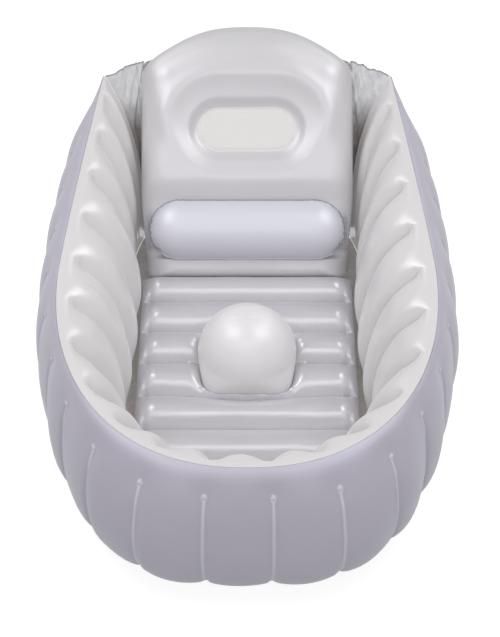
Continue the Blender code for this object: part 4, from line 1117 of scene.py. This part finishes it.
def makeTab(side):
    half, tall, weld = pillowHalfLength(), pillow["halfHeight"], pillow["weld"]
    share = np.linspace(-1, 1, tab["rows"])[:, None]
    step = np.linspace(0, 1, tab["columns"])[None, :]
    y = share * tab["height"] / 2
    start = half + tab["startGap"] - (tall - np.sqrt(tall ** 2 - y ** 2))
    stop = half + tab["length"] * mix(1, share ** 2, tab["drawn"])
    x = mix(start, stop, step)
    up = backrest["pillowAt"] + y

    def above(x):
        # just over the backrest's front, measured from the pillow's seat
        front, _ = frontHeight(x, up, backrestHalf(up) - x, tab["fromTop"])
        return front - backrest["pillowSeat"] + tab["clearance"]

    height = np.maximum(mix(weld, above(stop), step), above(x))
    ripple = gathers(y * tab["rippleSlant"][0] + x * tab["rippleSlant"][1], 51, tab["rippleLength"])
    height = height + tab["rippleHeight"] * np.sin(math.pi * step) * ripple
    middle = np.stack(np.broadcast_arrays(side * x, y, height), axis=2)
    piece, area = sheetPiece("pillowTabLeft" if side < 0 else "pillowTabRight", middle, tab["thickness"])
    onPillowSeat(piece)
    return piece, area


for side, node in ((-1, "pillow_tab_left"), (1, "pillow_tab_right")):
    piece, area = makeTab(side)
    standFor(piece, node, "tabFilm")
    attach(piece, "backrest")
    print("tab made, area", round(area, 5))


bottom = dict(
    rows=240, columns=150, thickness=0.0008, heightShare=0.55, inset=0.0012, start=0.0004, underMattress=0.012,
    edgeFade=0.008, wrinkle=0.0030, wrinkleSlant=0.6, wrinkleLength=0.011,
)


def makeBottom():
    foot = innerFoot - wallOut * bottom["inset"]
    half = len(foot) // 2
    low, high = foot[:, 1].min() + bottom["start"], min(foot[0, 1], foot[-1, 1])
    y = mix(low, high, 1 - np.cos(math.pi / 2 * np.linspace(0, 1, bottom["rows"])))

    def border(line):
        line = line[np.argsort(line[:, 1])]
        return np.interp(y, line[:, 1], line[:, 0])

    left, right = border(foot[:half + 1]), border(foot[half:])
    share = crowd(np.linspace(0, 1, bottom["columns"]))
    x = mix(left[:, None], right[:, None], share)
    yy = np.repeat(y[:, None], len(share), axis=1)
    # wrinkled where it is free, between the mattress and the wall
    under = bottom["underMattress"]
    fromEdge = np.minimum(share, 1 - share)[None, :] * (right - left)[:, None]
    free = ease(unit((np.abs(x) - mattressHalf(yy) + under) / under)) * ease(fromEdge / bottom["edgeFade"])
    wave = gathers(yy + np.abs(x) * bottom["wrinkleSlant"], 61, bottom["wrinkleLength"])
    z = bottom["thickness"] * bottom["heightShare"] + bottom["wrinkle"] * free * np.maximum(0, 0.5 + 0.5 * wave)
    piece, area = sheetPiece("bottomFilm", np.stack((x, yy, z), axis=2), bottom["thickness"])
    return piece, area, (float((right - left).max()), float(high - low))


bottomFilm, bottomArea, bottomFlat = makeBottom()
standFor(bottomFilm, "base_sheet", "baseFilm")
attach(bottomFilm, "tub")
print("bottom film made, area", round(bottomArea, 4), "flat", bottomFlat)


# valves and drain keep their solids, seated in pockets pressed into the skins

pocket = dict(
    bore=0.0095, boreEnd=0.0112, depth=0.028, seatUnder=0.0021, seatRadius=0.0165, blendOut=0.030, fromBelow=0.013,
    fromAbove=0.020, cuts=2, splitReach=1.15,
)
well = dict(
    fromFront=0.055, radius=0.0236, edge=0.0243, floor=0.0017, blendOut=0.036, round=0.005, upperFrom=0.4,
    splitReach=1.2,
)


def splitNear(piece, origin, radius):
    # finer faces round a place, so that a small round pocket keeps its shape
    pick(piece)
    editMode("DESELECT")
    objectMode()
    for face in piece.data.polygons:
        face.select = (face.center - Vector(origin)).length < radius
    editMode(kind="FACE")
    bpy.ops.mesh.subdivide(number_cuts=pocket["cuts"])
    objectMode()


def seatValve(piece, name):
    cap, flap, seat = [verticesOf(nodes[f"{name}_valve_{part}"]) for part in ("cap", "flap", "seat")]
    axis = cap.mean(axis=0) - flap.mean(axis=0)
    axis /= np.linalg.norm(axis)
    origin = flap.mean(axis=0)
    origin = origin + axis * ((seat - origin) @ axis).max()
    splitNear(piece, origin, pocket["blendOut"] * pocket["splitReach"])
    places = verticesOf(piece)
    along = (places - origin) @ axis
    away = np.linalg.norm(places - origin - along[:, None] * axis, axis=1)
    near = (away < pocket["blendOut"]) & (along > -pocket["fromBelow"]) & (along < pocket["fromAbove"])
    wanted = np.interp(away, (pocket["bore"], pocket["boreEnd"]), (-pocket["depth"], -pocket["seatUnder"]))
    fade = ease((away - pocket["seatRadius"]) / (pocket["blendOut"] - pocket["seatRadius"]))
    setVertices(piece, places + np.where(near, mix(wanted, along, fade) - along, 0)[:, None] * axis)


def sinkWell(piece):
    y, top = mattressEnds()[0] + well["fromFront"], mattress["height"]
    splitNear(piece, (0, y, top), well["blendOut"] * well["splitReach"])
    places = verticesOf(piece)
    away = np.hypot(places[:, 0], places[:, 1] - y)
    upper = (places[:, 2] > top * well["upperFrom"]) & (away < well["blendOut"])
    rounded = 1 - unit((away - well["edge"]) / (well["blendOut"] - well["edge"]))
    height = places[:, 2] - well["round"] * rounded ** 3
    share = unit((away - well["radius"]) / (well["edge"] - well["radius"]))
    places[:, 2] = np.where(upper, mix(well["floor"], height, share), places[:, 2])
    setVertices(piece, places)


for piece, name in ((outerWall, "wall"), (backrestPiece, "backrest"), (floorMattress, "mattress"),
                    (ballPiece, "ball")):
    seatValve(piece, name)
sinkWell(floorMattress)
print("valves seated")

for name, node in nodes.items():
    if "_valve_" in name or name.startswith("drain_"):
        dress(node, "valveWhite")


# floor, lights and sky

studio = dict(
    horizon=0.44, zenith=0.33, aim=(0, 0, 0.1), floorSize=14, floorHeight=-0.0004, floorShare=0.30, floorGlow=0.84,
    floorRoughness=0.12, floorSpecular=0.5,
)
softboxes = dict(
    softboxTop=dict(power=9.0, size=(0.80, 0.95), at=(0.95, 0.10, 1.75)),
    softboxRear=dict(power=4.6, size=(0.95, 0.95), at=(1.15, 1.10, 1.45)),
    softboxFront=dict(power=24, size=(3.2, 1.4), at=(0, -2.4, 1.9), shine=False),
    softboxOver=dict(power=4.2, size=(1.9, 0.34), at=(0, -0.78, 1.60)),
    softboxBack=dict(power=0.6, size=(2.4, 0.5), at=(0, 1.7, 2.0), aim=(0, 0, 0.05)),
)


def seenBy(tree, *rays):
    # 1 for the rays named, which see floor and sky bright
    paths = addNode(tree, "LightPath").outputs
    seen = paths[rays[0]]
    for ray in rays[1:]:
        seen = addMath(tree, "MAXIMUM", seen, paths[ray])
    return seen


def makeFloor():
    alone()
    bpy.ops.mesh.primitive_plane_add(size=studio["floorSize"], location=(0, 0, studio["floorHeight"]))
    floor = bpy.context.active_object
    floor.name = "floor"
    material, tree, shader = newMaterial("floorWhite")
    seen = seenBy(tree, "Is Camera Ray", "Is Glossy Ray", "Is Transmission Ray")
    setSockets(tree, shader, {
        "Base Color": (*[studio["floorShare"]] * 3, 1), "Roughness": studio["floorRoughness"],
        "Specular IOR Level": studio["floorSpecular"], "Emission Color": (1, 1, 1, 1),
        "Emission Strength": addMath(tree, "MULTIPLY", seen, studio["floorGlow"])})
    floor.data.materials.append(material)


def addSoftbox(name, side=1):
    look = softboxes[name]
    x, y, z = look["at"]
    lamp = bpy.data.lights.new(name, "AREA")
    lamp.shape = "RECTANGLE"
    lamp.size, lamp.size_y = look["size"]
    lamp.energy = look["power"]
    piece = bpy.data.objects.new(name, lamp)
    bpy.context.scene.collection.objects.link(piece)
    piece.location = (side * x, y, z)
    away = piece.location - Vector(look.get("aim", studio["aim"]))
    piece.rotation_euler = away.to_track_quat("Z", "Y").to_euler()
    piece.visible_glossy = look.get("shine", True)


def makeSky():
    world = bpy.data.worlds.new("studio")
    bpy.context.scene.world = world
    world.use_nodes = True
    tree = world.node_tree
    up = addNode(tree, "SeparateXYZ", {"Vector": addNode(tree, "TexCoord").outputs["Generated"]}).outputs["Z"]
    rise = addNode(tree, "MapRange", {"Value": up, "To Min": studio["horizon"], "To Max": studio["zenith"]})
    rise.interpolation_type = "SMOOTHSTEP"
    strength = addNode(tree, "MapRange", {"Value": seenBy(tree, "Is Camera Ray", "Is Transmission Ray"),
                                          "To Min": rise.outputs["Result"], "To Max": 1})
    setSockets(tree, tree.nodes["Background"], {"Color": (1, 1, 1, 1), "Strength": strength.outputs["Result"]})


makeFloor()
for side in (-1, 1):
    addSoftbox("softboxTop", side)
    addSoftbox("softboxRear", side)
addSoftbox("softboxFront")
addSoftbox("softboxOver")
addSoftbox("softboxBack")
makeSky()
print("studio ready")
